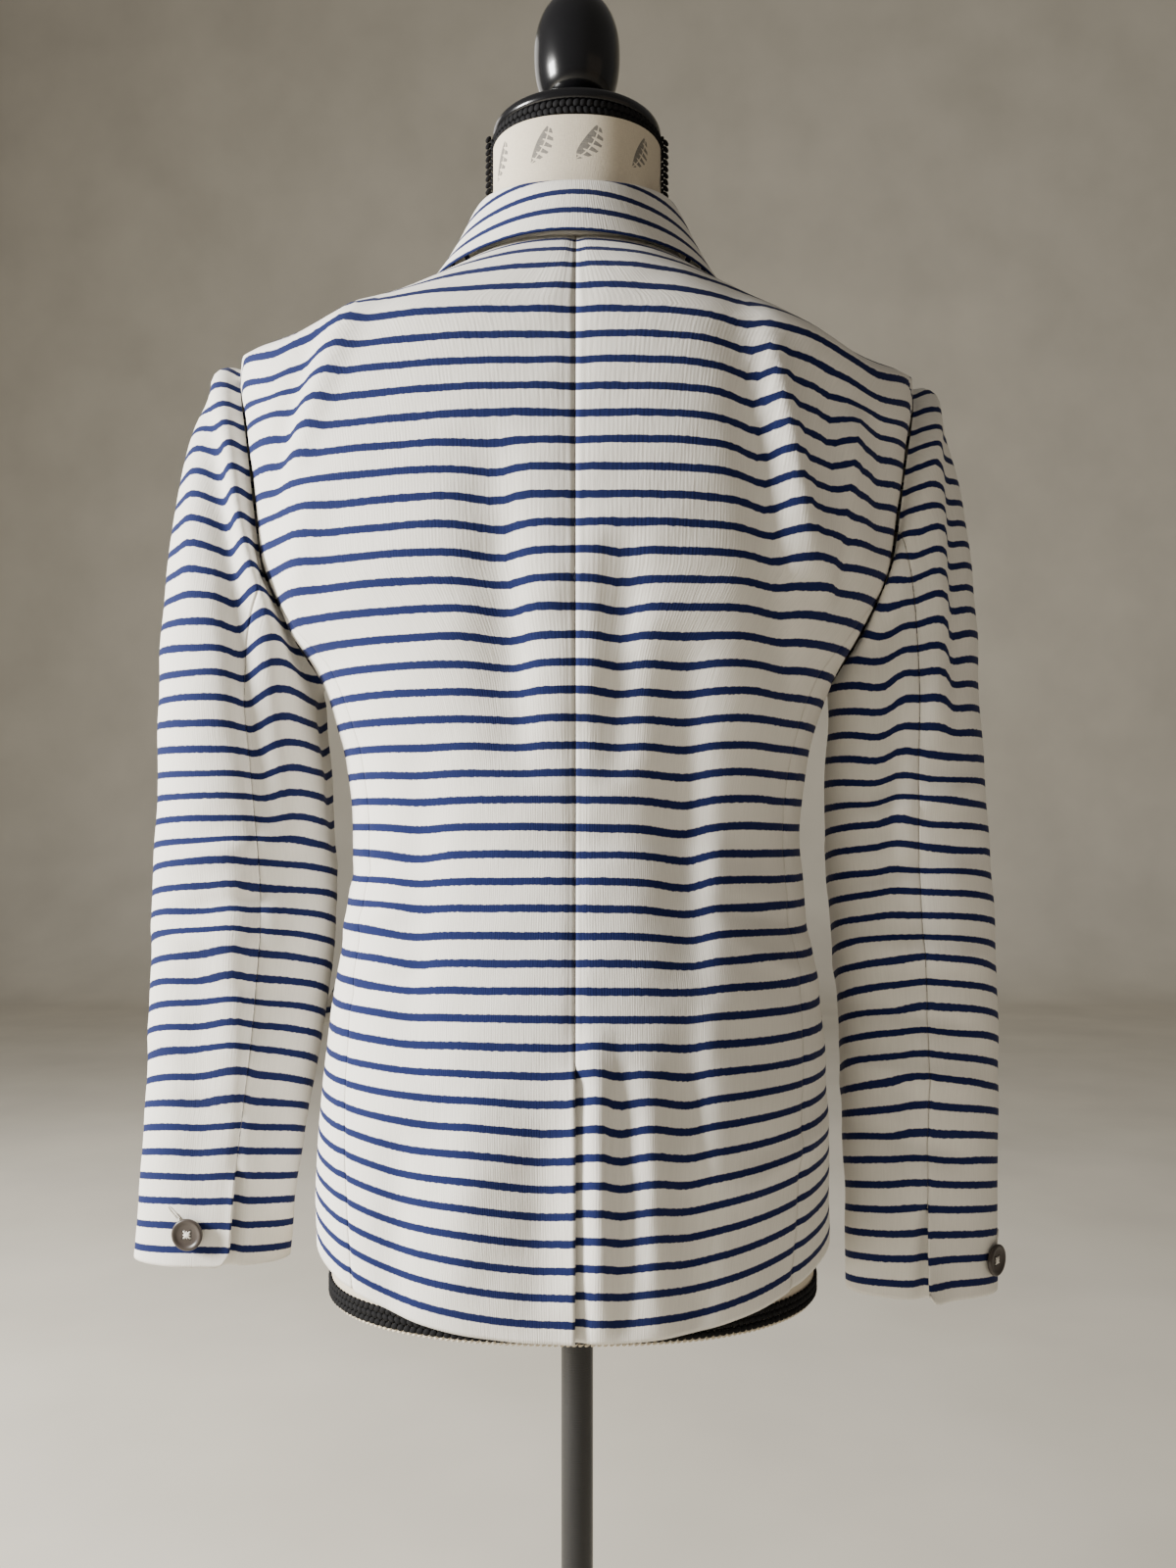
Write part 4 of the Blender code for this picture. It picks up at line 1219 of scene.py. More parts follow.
@dataclass
class Sleeve:
    """A two-piece sleeve with a lapped cuff vent."""
    side: Side
    finish: bpy.types.Material
    cap_rows: int = 26
    # Widths across the knit
    upper_sleeve_width: float = 0.20
    under_sleeve_width: float = 0.12
    # Cuff
    cuff_underlap: float = 0.014
    cuff_vent: float = 0.062
    cuff_lap_dip: float = 0.0040
    cuff_lap_lift: float = 0.0012
    cuff_flare_width: float = 0.012
    # Sleeve head
    head_ridge: float = 0.0065
    head_ridge_place: float = 0.012
    head_ridge_width: float = 0.011
    cap_middle_x: float = 0.205
    # Cloth round the sleeve
    sleeve_radius: float = 0.045
    cloth_per_radian: float = 0.05
    sleeve_slack: float = 0.85
    sleeve_face_blend: float = 0.012

    def tube(self, degrees: np.ndarray, z: np.ndarray) -> np.ndarray:
        """Points of the sleeve below the armhole, on the wearer's left.

        Args:
            degrees: Angles round the sleeve, 0 towards the body and 90 behind.
            z: Heights.

        Returns:
            The points.
        """
        table = SLEEVES[self.side]
        angle = np.radians(degrees)
        x = table["centre_x"](z) - table["half_x"](z) * np.cos(angle)
        y = table["centre_y"](z) + table["half_y"](z) * np.sin(angle)
        return np.stack(np.broadcast_arrays(x, y, z), axis=-1)

    def base(self, degrees: np.ndarray) -> tuple[np.ndarray, np.ndarray]:
        """The plain sleeve.

        Args:
            degrees: Angles of the columns round the sleeve.

        Returns:
            Rows of points, and the height each row has in the tube, or above its top in the cap.
        """
        top, low = SLEEVE_TOP_Z, CUFF_Z[self.side]
        start, end = armhole_points(degrees), self.tube(degrees, np.full(degrees.shape, top))
        bend = np.stack([end[:, 0] * 0.9 + start[:, 0] * 0.1, (start[:, 1] + end[:, 1]) / 2.0,
                         start[:, 2] * 0.93 + end[:, 2] * 0.07], axis=-1)
        near = [0.0, 0.006, 0.014, 0.026, 0.042]
        shares = np.concatenate([near, np.linspace(0.065, 0.98, self.cap_rows)])
        t = shares[:, None, None]
        cap = start * (1 - t) ** 2 + bend * 2 * t * (1 - t) + end * t ** 2
        heights = finer((low, low + 0.002, low + self.cuff_vent, top), FINE_ROW_STEP)[::-1]
        tubes = np.stack([self.tube(degrees, np.full(degrees.shape, z)) for z in heights])
        return np.concatenate([cap, tubes]), np.concatenate([top + 0.1 * (1.0 - shares), heights])

    def normals(self, points: np.ndarray) -> tuple[np.ndarray, np.ndarray]:
        """Directions off a grid of the sleeve.

        Args:
            points: Rows of the plain sleeve's points.

        Returns:
            The outward normals, and how far each point lies behind the sleeve's middle line.
        """
        normal = np.cross(np.gradient(points, axis=0), np.gradient(points, axis=1))
        normal /= np.maximum(np.linalg.norm(normal, axis=-1, keepdims=True), 1e-9)
        table, z = SLEEVES[self.side], points[..., 2]
        middle_x = np.where(z > SLEEVE_TOP_Z, self.cap_middle_x, table["centre_x"](z))
        centre = np.stack([middle_x, table["centre_y"](z)], axis=-1)
        outward = np.sum(normal[..., :2] * (points[..., :2] - centre), axis=-1) > 0.0
        if outward.mean() < 0.5:
            normal = -normal
        return normal, points[..., 1] - centre[..., 1]

    def along(self, z: np.ndarray) -> np.ndarray:
        """Length of cloth from the cuff to heights on the sleeve's outer line.

        Args:
            z: Heights on the outer line.

        Returns:
            Metres along the knit.
        """
        outer = self.base(np.array([180.0]))[0][::-1, 0, :]
        length = np.concatenate([[0.0], np.cumsum(np.linalg.norm(np.diff(outer, axis=0), axis=1))])
        return np.interp(z, outer[:, 2], length) + np.minimum(z - outer[0, 2], 0.0)

    def panel(self, upper: bool) -> ClothGrid:
        """The grid of the upper or the under sleeve.

        Args:
            upper: True for the upper sleeve.

        Returns:
            The grid as worn, on the sleeve's own side.
        """
        cuff_z = CUFF_Z[self.side]
        vent_z = cuff_z + self.cuff_vent
        seam = BACK_SEAM_DEGREES[self.side]
        gap = math.degrees(SEAM_GAP / self.sleeve_radius)
        if upper:
            width, count, laps = self.upper_sleeve_width, 40, np.array([])
            first, last = seam + gap, 360.0 + FRONT_SEAM_DEGREES - gap
        else:
            width, count, laps = self.under_sleeve_width, 26, np.array([1.0, 0.75, 0.5, 0.28, 0.12, 0.04])
            first, last = seam - gap, FRONT_SEAM_DEGREES + gap
        shares = seam_spacing(count, width)
        extra = len(laps)
        under = seam + math.degrees(self.cuff_underlap / self.sleeve_radius) * laps
        degrees = np.concatenate([under, first + (last - first) * shares])
        points, heights = self.base(degrees)
        shown = np.ones(points.shape[:2], bool)
        shown[:, :extra] = (heights < vent_z)[:, None]
        here = np.concatenate([np.zeros(extra), shares * width])
        sewn = np.arange(len(degrees)) >= extra
        vent = soft_step((vent_z + 0.002 - heights) / 0.008)[:, None]
        seams = np.concatenate([np.zeros(extra), seam_dip(shares, width)])
        near = np.exp(-(here / SEAM_ROLL_WIDTH) ** 2)
        if upper:
            drop = np.clip((vent_z - 0.012 - heights) / (self.cuff_vent - 0.012), 0.0, 1.0)[:, None]
            out = seams + vent * (SEAM_ROLL + self.cuff_lap_lift) * near
            out = out + CUFF_LOOSE[self.side] * drop ** 1.5 * np.exp(-(here / self.cuff_flare_width) ** 2)
        else:
            dip = np.where(sewn, 1.0 - soft_step(here / LAP_BLEND), 1.0)
            out = seams + vent * (SEAM_ROLL * near * sewn - self.cuff_lap_dip * dip)
        armhole = np.linalg.norm(points - points[:1], axis=-1)
        normal, depth = self.normals(points)
        x, y, z = points[..., 0], points[..., 1], points[..., 2]
        creases = SLEEVE_CREASES[self.side]
        behind = soft_step(depth / self.sleeve_face_blend)
        before = soft_step(-depth / self.sleeve_face_blend)
        form = creases_at(creases, x, z) * behind
        form = form + 0.7 * creases_at(creases, x + 0.012, z + 0.018) * before
        form = (form + ripple(x, y, z + 0.3)) * soft_step(armhole / 0.02)
        head = ramp(z, 0.80, 0.05) * behind
        ridge = np.exp(-((armhole - self.head_ridge_place) / self.head_ridge_width) ** 2)
        out = out + self.head_ridge * head * ridge * soft_step(armhole / 0.006)
        moved = points + normal * (form + out)[..., None]
        if upper:
            corner = np.exp(-(here / 0.0045) ** 1.5) * np.clip(1.0 - (z - cuff_z) / 0.012, 0.0, 1.0)
            moved[..., 2] += 0.0085 * corner * corner
        moved[..., 0] *= self.side.value
        along = self.along(z - SLEEVE_TILT(z) * depth) - self.sleeve_slack * form
        across = np.broadcast_to(np.radians(degrees - seam) * self.cloth_per_radian + 1.5, shown.shape)
        return ClothGrid(settle(moved), across, along, shown)

    def build(self) -> list[bpy.types.Object]:
        """Make both pieces of the sleeve.

        Returns:
            The upper and the under sleeve.
        """
        middle = np.array([0.213 * self.side.value, -0.006, 0.70])

        def outward(points: np.ndarray) -> np.ndarray:
            """Direction from the sleeve's middle line."""
            return (points - middle) * np.array([1.0, 1.0, 0.05])

        pieces = []
        for upper, kind in ((True, "sleeve_upper"), (False, "sleeve_under")):
            node = f"{kind}_{self.side.word}"
            pieces.append(self.panel(upper).build(f"cloth_{node}", [node], self.finish, outward))
        return pieces


@dataclass
class Collar:
    """The collar's stand and its turned-down fall."""
    finish: bpy.types.Material
    plain: bpy.types.Material
    stand: tuple = (
        ("share", "half_x", "back", "z_back", "z_side", "front_drop"),
        (0.0, 0.0700, 0.0730, 1.0424, 1.0426, 0.0),
        (0.5, 0.0625, 0.0650, 1.0580, 1.0620, 0.0),
        (1.0, 0.0590, 0.0610, 1.0710, 1.0780, 0.0),
    )
    fall: tuple = (
        ("share", "half_x", "back", "z_back", "z_side", "front_drop"),
        (0.00, 0.0955, 0.0840, 1.0400, 1.0305, 0.040),
        (0.27, 0.0855, 0.0805, 1.0500, 1.0440, 0.049),
        (0.55, 0.0745, 0.0750, 1.0620, 1.0630, 0.058),
        (0.80, 0.0660, 0.0690, 1.0735, 1.0800, 0.066),
        (0.92, 0.0625, 0.0655, 1.0768, 1.0848, 0.068),
        (1.00, 0.0600, 0.0620, 1.0764, 1.0840, 0.068),
    )
    spread: float = 0.52
    tuck: float = 0.86

    def grid(self, table: tuple, reach: float, rows: int) -> ClothGrid:
        """A band round the neck, through a short table of rings.

        Args:
            table: The rings, from the first edge of the band to the last.
            reach: Degrees from the centre back to each end.
            rows: Rows of points from edge to edge.

        Returns:
            The grid.
        """
        read = curves(table)
        share = np.linspace(0.0, 1.0, rows)[:, None]
        degrees = np.linspace(-reach, reach, 150)[None, :]
        angle = np.radians(degrees)
        past = np.maximum(np.abs(degrees) - 90.0, 0.0) / 50.0
        depth = np.where(past == 0.0, 1.0, self.tuck + self.spread * soft_step(past / 0.55))
        depth = depth + (1.0 - self.tuck) * np.where(past > 0.0, np.exp(-(past / 0.12) ** 2), 0.0)
        side = np.sin(np.radians(np.minimum(np.abs(degrees), 90.0))) ** 2
        z = read["z_back"](share) + (read["z_side"](share) - read["z_back"](share)) * side
        z = z - read["front_drop"](share) * past ** 1.6
        wave = 0.0007 * np.sin(3.1 * angle + 0.6) * (1.0 - share)
        wave = wave + 0.0004 * np.sin(7.3 * angle) * (1.0 - share)
        x = (read["half_x"](share) + wave) * np.sin(angle)
        y = (read["back"](share) + wave) * depth * np.cos(angle)
        points = np.stack(np.broadcast_arrays(x, y, z), axis=-1)
        steps = np.linalg.norm(np.diff(points, axis=0), axis=-1)
        along = np.concatenate([np.zeros((1, steps.shape[1])), np.cumsum(steps, axis=0)])
        across = np.broadcast_to(angle * 0.08 + 2.5, along.shape)
        return ClothGrid(settle(points), across, along, np.ones(along.shape, bool))

    def build(self) -> list[bpy.types.Object]:
        """Make the stand and the fall.

        Returns:
            The stand and the fall.
        """
        stand = self.grid(self.stand, 96.0, 16)
        fall = self.grid(self.fall, 138.0, 40)
        return [stand.build("cloth_collar_stand", ["collar_stand"], self.plain, from_middle, STAND_WALL),
                fall.build("cloth_collar_fall", ["collar_fall"], self.finish, from_middle)]


@dataclass(frozen=True)
class PlainFinish:
    """A finish of one colour with a fine uneven surface.

    Args:
        name: The material's name.
        colour: Its colour.
        roughness: Its roughness.
        grain: Noise scale in turns a metre.
        bump: Bump distance in metres.
        coat: Weight of a clear coat.
        specular: Strength of its highlights.
    """
    name: str
    colour: Colour
    roughness: float
    grain: Point = (300.0, 300.0, 300.0)
    bump: float = 0.0
    coat: float = 0.0
    specular: float = 0.5

    def build(self) -> bpy.types.Material:
        """Make the material.

        Returns:
            The material.
        """
        finish, shader = new_material(self.name, {
            "Base Color": self.colour, "Roughness": self.roughness, "Coat Weight": self.coat,
            "Specular IOR Level": self.specular})
        tree = finish.node_tree
        place = tree.nodes.new("ShaderNodeTexCoord")
        noise = noise_node(tree, place.outputs["Object"], self.grain, 3.0)
        light = math_node(tree, "ADD", math_node(tree, "MULTIPLY", noise, 0.3), 0.85)
        tree.links.new(shaded(tree, self.colour, light), shader.inputs["Base Color"])
        if self.bump > 0.0:
            tree.links.new(bumped(tree, noise, 0.6, self.bump), shader.inputs["Normal"])
        return finish


def leaf_group() -> bpy.types.NodeTree:
    """The node group of a grey leaf print: staggered leaves, each with a light middle vein.

    Returns:
        The group.
    """
    tree, given, made = new_group("Leaf print", {"Vector": "Vector", "Pitch": "Float"}, {"Fill": "Float"})
    maths = partial(math_node, tree)
    axes = flat_axes(tree, given.outputs["Vector"])
    across, up = (maths("DIVIDE", axis, given.outputs["Pitch"]) for axis in axes)
    odd = maths("MODULO", maths("ABSOLUTE", maths("FLOOR", up)), 2.0)
    moved = maths("ADD", across, maths("MULTIPLY", odd, 0.5))
    cell_x = maths("SUBTRACT", maths("FRACT", moved), 0.5)
    cell_y = maths("SUBTRACT", maths("FRACT", up), 0.5)
    lean = maths("MULTIPLY", maths("SUBTRACT", odd, 0.5), 1.1)
    along = maths("ADD", cell_y, maths("MULTIPLY", cell_x, lean))
    square = maths("MULTIPLY", along, along)
    beside = maths("SUBTRACT", cell_x, maths("MULTIPLY", cell_y, lean))
    beside = maths("SUBTRACT", beside, maths("MULTIPLY", square, 0.55))
    half_width = maths("SUBTRACT", 0.17, maths("MULTIPLY", square, 0.95))
    off_middle = maths("ABSOLUTE", beside)
    leaf = maths("GREATER_THAN", maths("SUBTRACT", half_width, off_middle), 0.0)
    off_vein = maths("GREATER_THAN", maths("SUBTRACT", off_middle, 0.012), 0.0)
    notch = maths("SINE", maths("MULTIPLY", along, 46.0))
    hatch = maths("GREATER_THAN", maths("ADD", notch, maths("MULTIPLY", beside, 6.0)), -0.55)
    fill = maths("MULTIPLY", maths("MULTIPLY", leaf, off_vein), hatch)
    tree.links.new(fill, made.inputs["Fill"])
    return tree


@dataclass(frozen=True)
class LinenFinish:
    """Woven cream linen with a grey leaf print on the neck."""
    name: str = "Linen"
    cream: Colour = (0.66, 0.585, 0.46, 1.0)
    grey: Colour = (0.10, 0.10, 0.10, 1.0)
    pitch: float = 0.034
    print_from: float = 1.045

    def build(self) -> bpy.types.Material:
        """Make the material; its UV map holds metres round and up the form.

        Returns:
            The material.
        """
        finish, shader = new_material(self.name, {"Roughness": 0.9, "Specular IOR Level": 0.2})
        tree = finish.node_tree
        maths = partial(math_node, tree)
        places = cloth_map(tree)
        weft = noise_node(tree, places, (260.0, 2600.0, 1.0), 2.0)
        warp = noise_node(tree, places, (2600.0, 260.0, 1.0), 2.0)
        weave = maths("ADD", weft, warp)
        ground = shaded(tree, self.cream, maths("ADD", maths("MULTIPLY", weave, 0.22), 0.78))
        leaves = tree.nodes.new("ShaderNodeGroup")
        leaves.node_tree = leaf_group()
        leaves.inputs["Pitch"].default_value = self.pitch
        tree.links.new(places, leaves.inputs["Vector"])
        on_neck = maths("GREATER_THAN", flat_axes(tree, places)[1], self.print_from)
        worn = maths("ADD", maths("MULTIPLY", weft, 0.7), 0.45)
        mask = maths("MULTIPLY", maths("MULTIPLY", leaves.outputs["Fill"], on_neck), worn)
        tree.links.new(mix_colours(tree, mask, ground, self.grey), shader.inputs["Base Color"])
        tree.links.new(bumped(tree, weave, 0.4, 0.0003), shader.inputs["Normal"])
        return finish


def finish_piece(piece: bpy.types.Object, name: str, finish: bpy.types.Material,
                 nodes: Sequence[str]) -> bpy.types.Object:
    """Apply a piece's place, name it, give it its material, hide the solids that it stands for and attach it
    to the root.

    Args:
        piece: The object.
        name: Its name.
        finish: Its material.
        nodes: The solids that it stands for.

    Returns:
        The same object.
    """
    select_only(piece)
    bpy.ops.object.transform_apply(location=True, rotation=True, scale=True)
    piece.name = name
    piece.data.materials.clear()
    piece.data.materials.append(finish)
    if nodes:
        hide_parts(*nodes)
    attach(piece, "root")
    LOG.info("%s: %d faces", name, len(piece.data.polygons))
    return piece


def face_outwards(piece: bpy.types.Object) -> None:
    """Turn the faces of a closed mesh outwards.

    Args:
        piece: The object.
    """
    select_only(piece)
    bpy.ops.object.mode_set(mode="EDIT")
    bpy.ops.mesh.select_all(action="SELECT")
    bpy.ops.mesh.normals_make_consistent(inside=False)
    bpy.ops.object.mode_set(mode="OBJECT")


def revolve(name: str, profile: Sequence[tuple[float, float]], segments: int) -> bpy.types.Object:
    """Turn a profile of radius and height, rising, about the Z axis.

    Args:
        name: The mesh's name.
        profile: Radius and height pairs, from the bottom to the top.
        segments: Steps of a full turn.

    Returns:
        The turned object.
    """
    mesh = bpy.data.meshes.new(name)
    edges = [(i, i + 1) for i in range(len(profile) - 1)]
    mesh.from_pydata([(radius, 0.0, z) for radius, z in profile], edges, [])
    piece = add_mesh(name, mesh)
    turn = piece.modifiers.new("Turn", "SCREW")
    turn.axis = "Z"
    turn.steps = segments
    turn.render_steps = segments
    turn.use_merge_vertices = True
    turn.merge_threshold = 0.00005
    select_only(piece)
    bpy.ops.object.modifier_apply(modifier=turn.name)
    face_outwards(piece)
    bpy.ops.object.shade_smooth()
    return piece


def soft_profile(corners: Sequence[tuple[float, float]], rounds: int = 3) -> list[tuple[float, float]]:
    """Cut the corners of a profile again and again, keeping its two ends.

    Args:
        corners: Radius and height of each corner.
        rounds: How often the corners are cut.

    Returns:
        The smoother profile.
    """
    points = [np.array(corner) for corner in corners]
    for _ in range(rounds):
        cut = [points[0]]
        for first, second in zip(points[:-1], points[1:]):
            cut += [first * 0.75 + second * 0.25, first * 0.25 + second * 0.75]
        points = cut + [points[-1]]
    return [(float(point[0]), float(point[1])) for point in points]


def grains(name: str, places: np.ndarray, sizes: np.ndarray, turns: Sequence[Matrix]) -> bpy.types.Object:
    """A braid or stitch of many small rounded grains, joined in one mesh.

    Args:
        name: The object's name.
        places: Middle of each grain.
        sizes: Half sizes of each grain along its own axes.
        turns: Rotation of each grain.

    Returns:
        The object.
    """
    shape = bmesh.new()
    bmesh.ops.create_icosphere(shape, subdivisions=2, radius=1.0)
    unit = np.array([vertex.co[:] for vertex in shape.verts])
    faces = np.array([[vertex.index for vertex in face.verts] for face in shape.faces])
    shape.free()
    points, corners = [], []
    for k, (place, size, turn) in enumerate(zip(places, sizes, turns)):
        points.append((unit * size) @ np.array(turn.to_3x3()).T + place)
        corners.append(faces + k * len(unit))
    mesh = bpy.data.meshes.new(name)
    mesh.from_pydata(np.concatenate(points).tolist(), [], np.concatenate(corners).tolist())
    mesh.shade_smooth()
    return add_mesh(name, mesh)


def braid_along(name: str, path: np.ndarray, outward: np.ndarray, rows: int, pitch: float,
                height: float, closed: bool = True) -> bpy.types.Object:
    """A flat braid of slanting grains along a path.

    Args:
        name: The object's name.
        path: Points of the braid's middle line.
        outward: Unit direction out of the braid at each point.
        rows: Rows of grains across the braid.
        pitch: Length that one grain takes.
        height: Width of the braid.
        closed: True when the path returns to its start.

    Returns:
        The object.
    """
    if closed:
        path, outward = np.vstack([path, path[:1]]), np.vstack([outward, outward[:1]])
    lengths = np.concatenate([[0.0], np.cumsum(np.linalg.norm(np.diff(path, axis=0), axis=1))])
    count = max(int(round(lengths[-1] / pitch)), 2)
    size = np.array([pitch * 0.62, height / rows * 0.52, min(height / rows * 0.45, 0.0012)])

    def read(values: np.ndarray, at: float) -> np.ndarray:
        """The values at a length along the path."""
        return np.array([np.interp(at, lengths, values[:, axis]) for axis in range(3)])

    places, turns = [], []
    for row in range(rows):
        offset = ((row + 0.5) / rows - 0.5) * height
        slant = math.radians(34.0 if row % 2 == 0 else -34.0)
        for k in range(count):
            at = (k + (0.5 if row % 2 else 0.0)) / count * lengths[-1]
            out = Vector(read(outward, at)).normalized()
            run = Vector(read(path, at + pitch * 0.4) - read(path, at - pitch * 0.4)).normalized()
            up = out.cross(run).normalized()
            places.append(read(path, at) + np.array(up) * offset)
            turns.append(Matrix((run, up, out)).transposed() @ Matrix.Rotation(slant, 3, "Z"))
    return grains(name, np.array(places), np.array([size] * len(places)), turns)


@dataclass
class DressForm:
    """The limbless dress form and its stand."""
    linen: bpy.types.Material
    braid: bpy.types.Material
    gloss: bpy.types.Material
    metal: bpy.types.Material
    columns: int = 96
    # Neck and rim
    neck_top_z: float = 1.1225
    neck_radius: float = 0.0526
    form_bottom_z: float = 0.420
    band_height: float = 0.012
    # Stand
    base_top_z: float = 0.0222
    pole_radius: float = 0.0100

    def ring(self, z: float, out: float = 0.0) -> tuple[np.ndarray, np.ndarray]:
        """A section of the form moved outward, and its outward directions.

        Args:
            z: The section's height.
            out: How far it is moved outward.

        Returns:
            Its points, and the outward direction at each.
        """
        degrees = np.linspace(0.0, 360.0, self.columns, endpoint=False)
        points = ring_points(FORM_SECTIONS, degrees, np.full(degrees.shape, z))
        flat = points * np.array([1.0, 1.0, 0.0])
        flat /= np.linalg.norm(flat, axis=-1, keepdims=True)
        return settle(points + flat * out), flat

    def torso(self) -> None:
        """The covered torso and neck."""
        heights = finer((self.form_bottom_z, 0.99, 1.05, 1.122), 0.006)
        rings = [self.ring(z)[0] for z in heights]
        count = self.columns
        step = math.tau * self.neck_radius / count
        faces, places = [], []
        for i, (low, high) in enumerate(zip(heights[:-1], heights[1:])):
            for j in range(count):
                k = (j + 1) % count
                faces.append((i * count + j, i * count + k, (i + 1) * count + k, (i + 1) * count + j))
                places += [(j * step, low), ((j + 1) * step, low), ((j + 1) * step, high), (j * step, high)]
        faces.append(tuple(range(count)))
        faces.append(tuple((len(heights) - 1) * count + j for j in range(count)))
        places += [(0.0, 0.0)] * (2 * count)
        mesh = bpy.data.meshes.new("form_cover")
        mesh.from_pydata(np.concatenate(rings).tolist(), [], faces)
        layer = mesh.uv_layers.new(name=UV_NAME)
        layer.data.foreach_set("uv", np.array(places).reshape(-1))
        piece = add_mesh("form_cover", mesh)
        face_outwards(piece)
        bpy.ops.object.shade_smooth_by_angle(angle=SMOOTH_ANGLE)
        finish_piece(piece, "form_cover", self.linen, ["form_torso"])

    def trims(self) -> None:
        """The band at the rim, the pale edge under the band, and the braids at the neck."""
        middle, outward = self.ring(self.form_bottom_z + self.band_height * 0.5, 0.0012)
        band = braid_along("rim_band", middle, outward, 3, 0.0042, self.band_height * 0.94)
        finish_piece(band, "rim_band", self.braid, ["rim_braid"])
        edge, outward = self.ring(self.form_bottom_z - 0.0006, -0.0002)
        cord = braid_along("rim_edge", edge, outward, 1, 0.0034, 0.0020)
        finish_piece(cord, "rim_edge", self.linen, [])
        low, bend, high = self.neck_top_z, self.neck_top_z + 0.0040, self.neck_top_z + 0.0085
        profile = ((0.0, low), (0.0515, low), (0.0520, bend), (0.0505, high), (0.0, high))
        core = revolve("neck_band_core", profile, 64)
        finish_piece(core, "neck_band_core", self.braid, ["neck_braid"])
        turns = np.radians(np.linspace(0.0, 360.0, 72, endpoint=False))
        flat = np.stack([np.sin(turns), np.cos(turns), np.zeros(72)], axis=-1)
        path = flat * self.neck_radius + np.array([0.0, 0.0, self.neck_top_z + 0.0043])
        band = braid_along("neck_band", path, flat, 2, 0.0040, 0.0082)
        finish_piece(band, "neck_band", self.braid, [])
        heights = np.linspace(1.046, self.neck_top_z + 0.008, 12)
        behind = np.repeat([[0.0, 1.0, 0.0]], len(heights), axis=0)
        for side in Side:
            path = np.array([(side.value * 0.0534, 0.012, z) for z in heights])
            cord = braid_along("neck_cord", path, behind, 2, 0.0040, 0.0056, False)
            finish_piece(cord, f"neck_cord_{side.word}", self.braid, [])

    def turned(self, name: str, node: str, floor: float, corners: Sequence[tuple[float, float]],
               segments: int, rounds: int = 3) -> None:
        """Make a turned piece.

        Args:
            name: The piece's name.
            node: The solid that it stands for.
            floor: Height that its corners are measured from.
            corners: Radius and height of each corner, from the bottom to the top.
            segments: Steps of a full turn.
            rounds: How often the corners are cut.
        """
        profile = soft_profile([(radius, floor + z) for radius, z in corners], rounds)
        finish_piece(revolve(name, profile, segments), name, self.gloss, [node])

    def turnings(self) -> None:
        """The neck cap, the finial, the base and the pole."""
        self.turned("cap_disc", "neck_cap", self.neck_top_z, (
            (0.0, 0.0088), (0.0500, 0.0088), (0.0524, 0.0105), (0.0525, 0.0140), (0.0505, 0.0170),
            (0.0420, 0.0205), (0.0200, 0.0262), (0.0120, 0.0300), (0.0, 0.0300)), 96)
        self.turned("egg_top", "finial", self.neck_top_z + 0.0303, (
            (0.0, 0.0), (0.0150, 0.0), (0.0152, 0.0030), (0.0220, 0.0072), (0.0260, 0.0190),
            (0.0270, 0.0340), (0.0259, 0.0480), (0.0210, 0.0610), (0.0120, 0.0702), (0.0050, 0.0720),
            (0.0, 0.0720)), 80)
        self.turned("foot", "base", 0.0, (
            (0.0, 0.0), (0.1475, 0.0), (0.1500, 0.0030), (0.1495, 0.0070), (0.1460, 0.0110),
            (0.1300, 0.0158), (0.0300, 0.0220), (0.0, 0.0220)), 128, 2)
        high = self.form_bottom_z - 0.0004
        bpy.ops.object.select_all(action="DESELECT")
        bpy.ops.mesh.primitive_cylinder_add(vertices=64, radius=self.pole_radius,
                                            depth=high - self.base_top_z,
                                            location=(0.0, 0.0, (self.base_top_z + high) / 2.0))
        pole = bpy.context.object
        bpy.ops.object.shade_smooth_by_angle(angle=SMOOTH_ANGLE)
        finish_piece(pole, "pole_tube", self.metal, ["pole"])

    def build(self) -> None:
        """Make the whole form."""
        self.torso()
        self.trims()
        self.turnings()


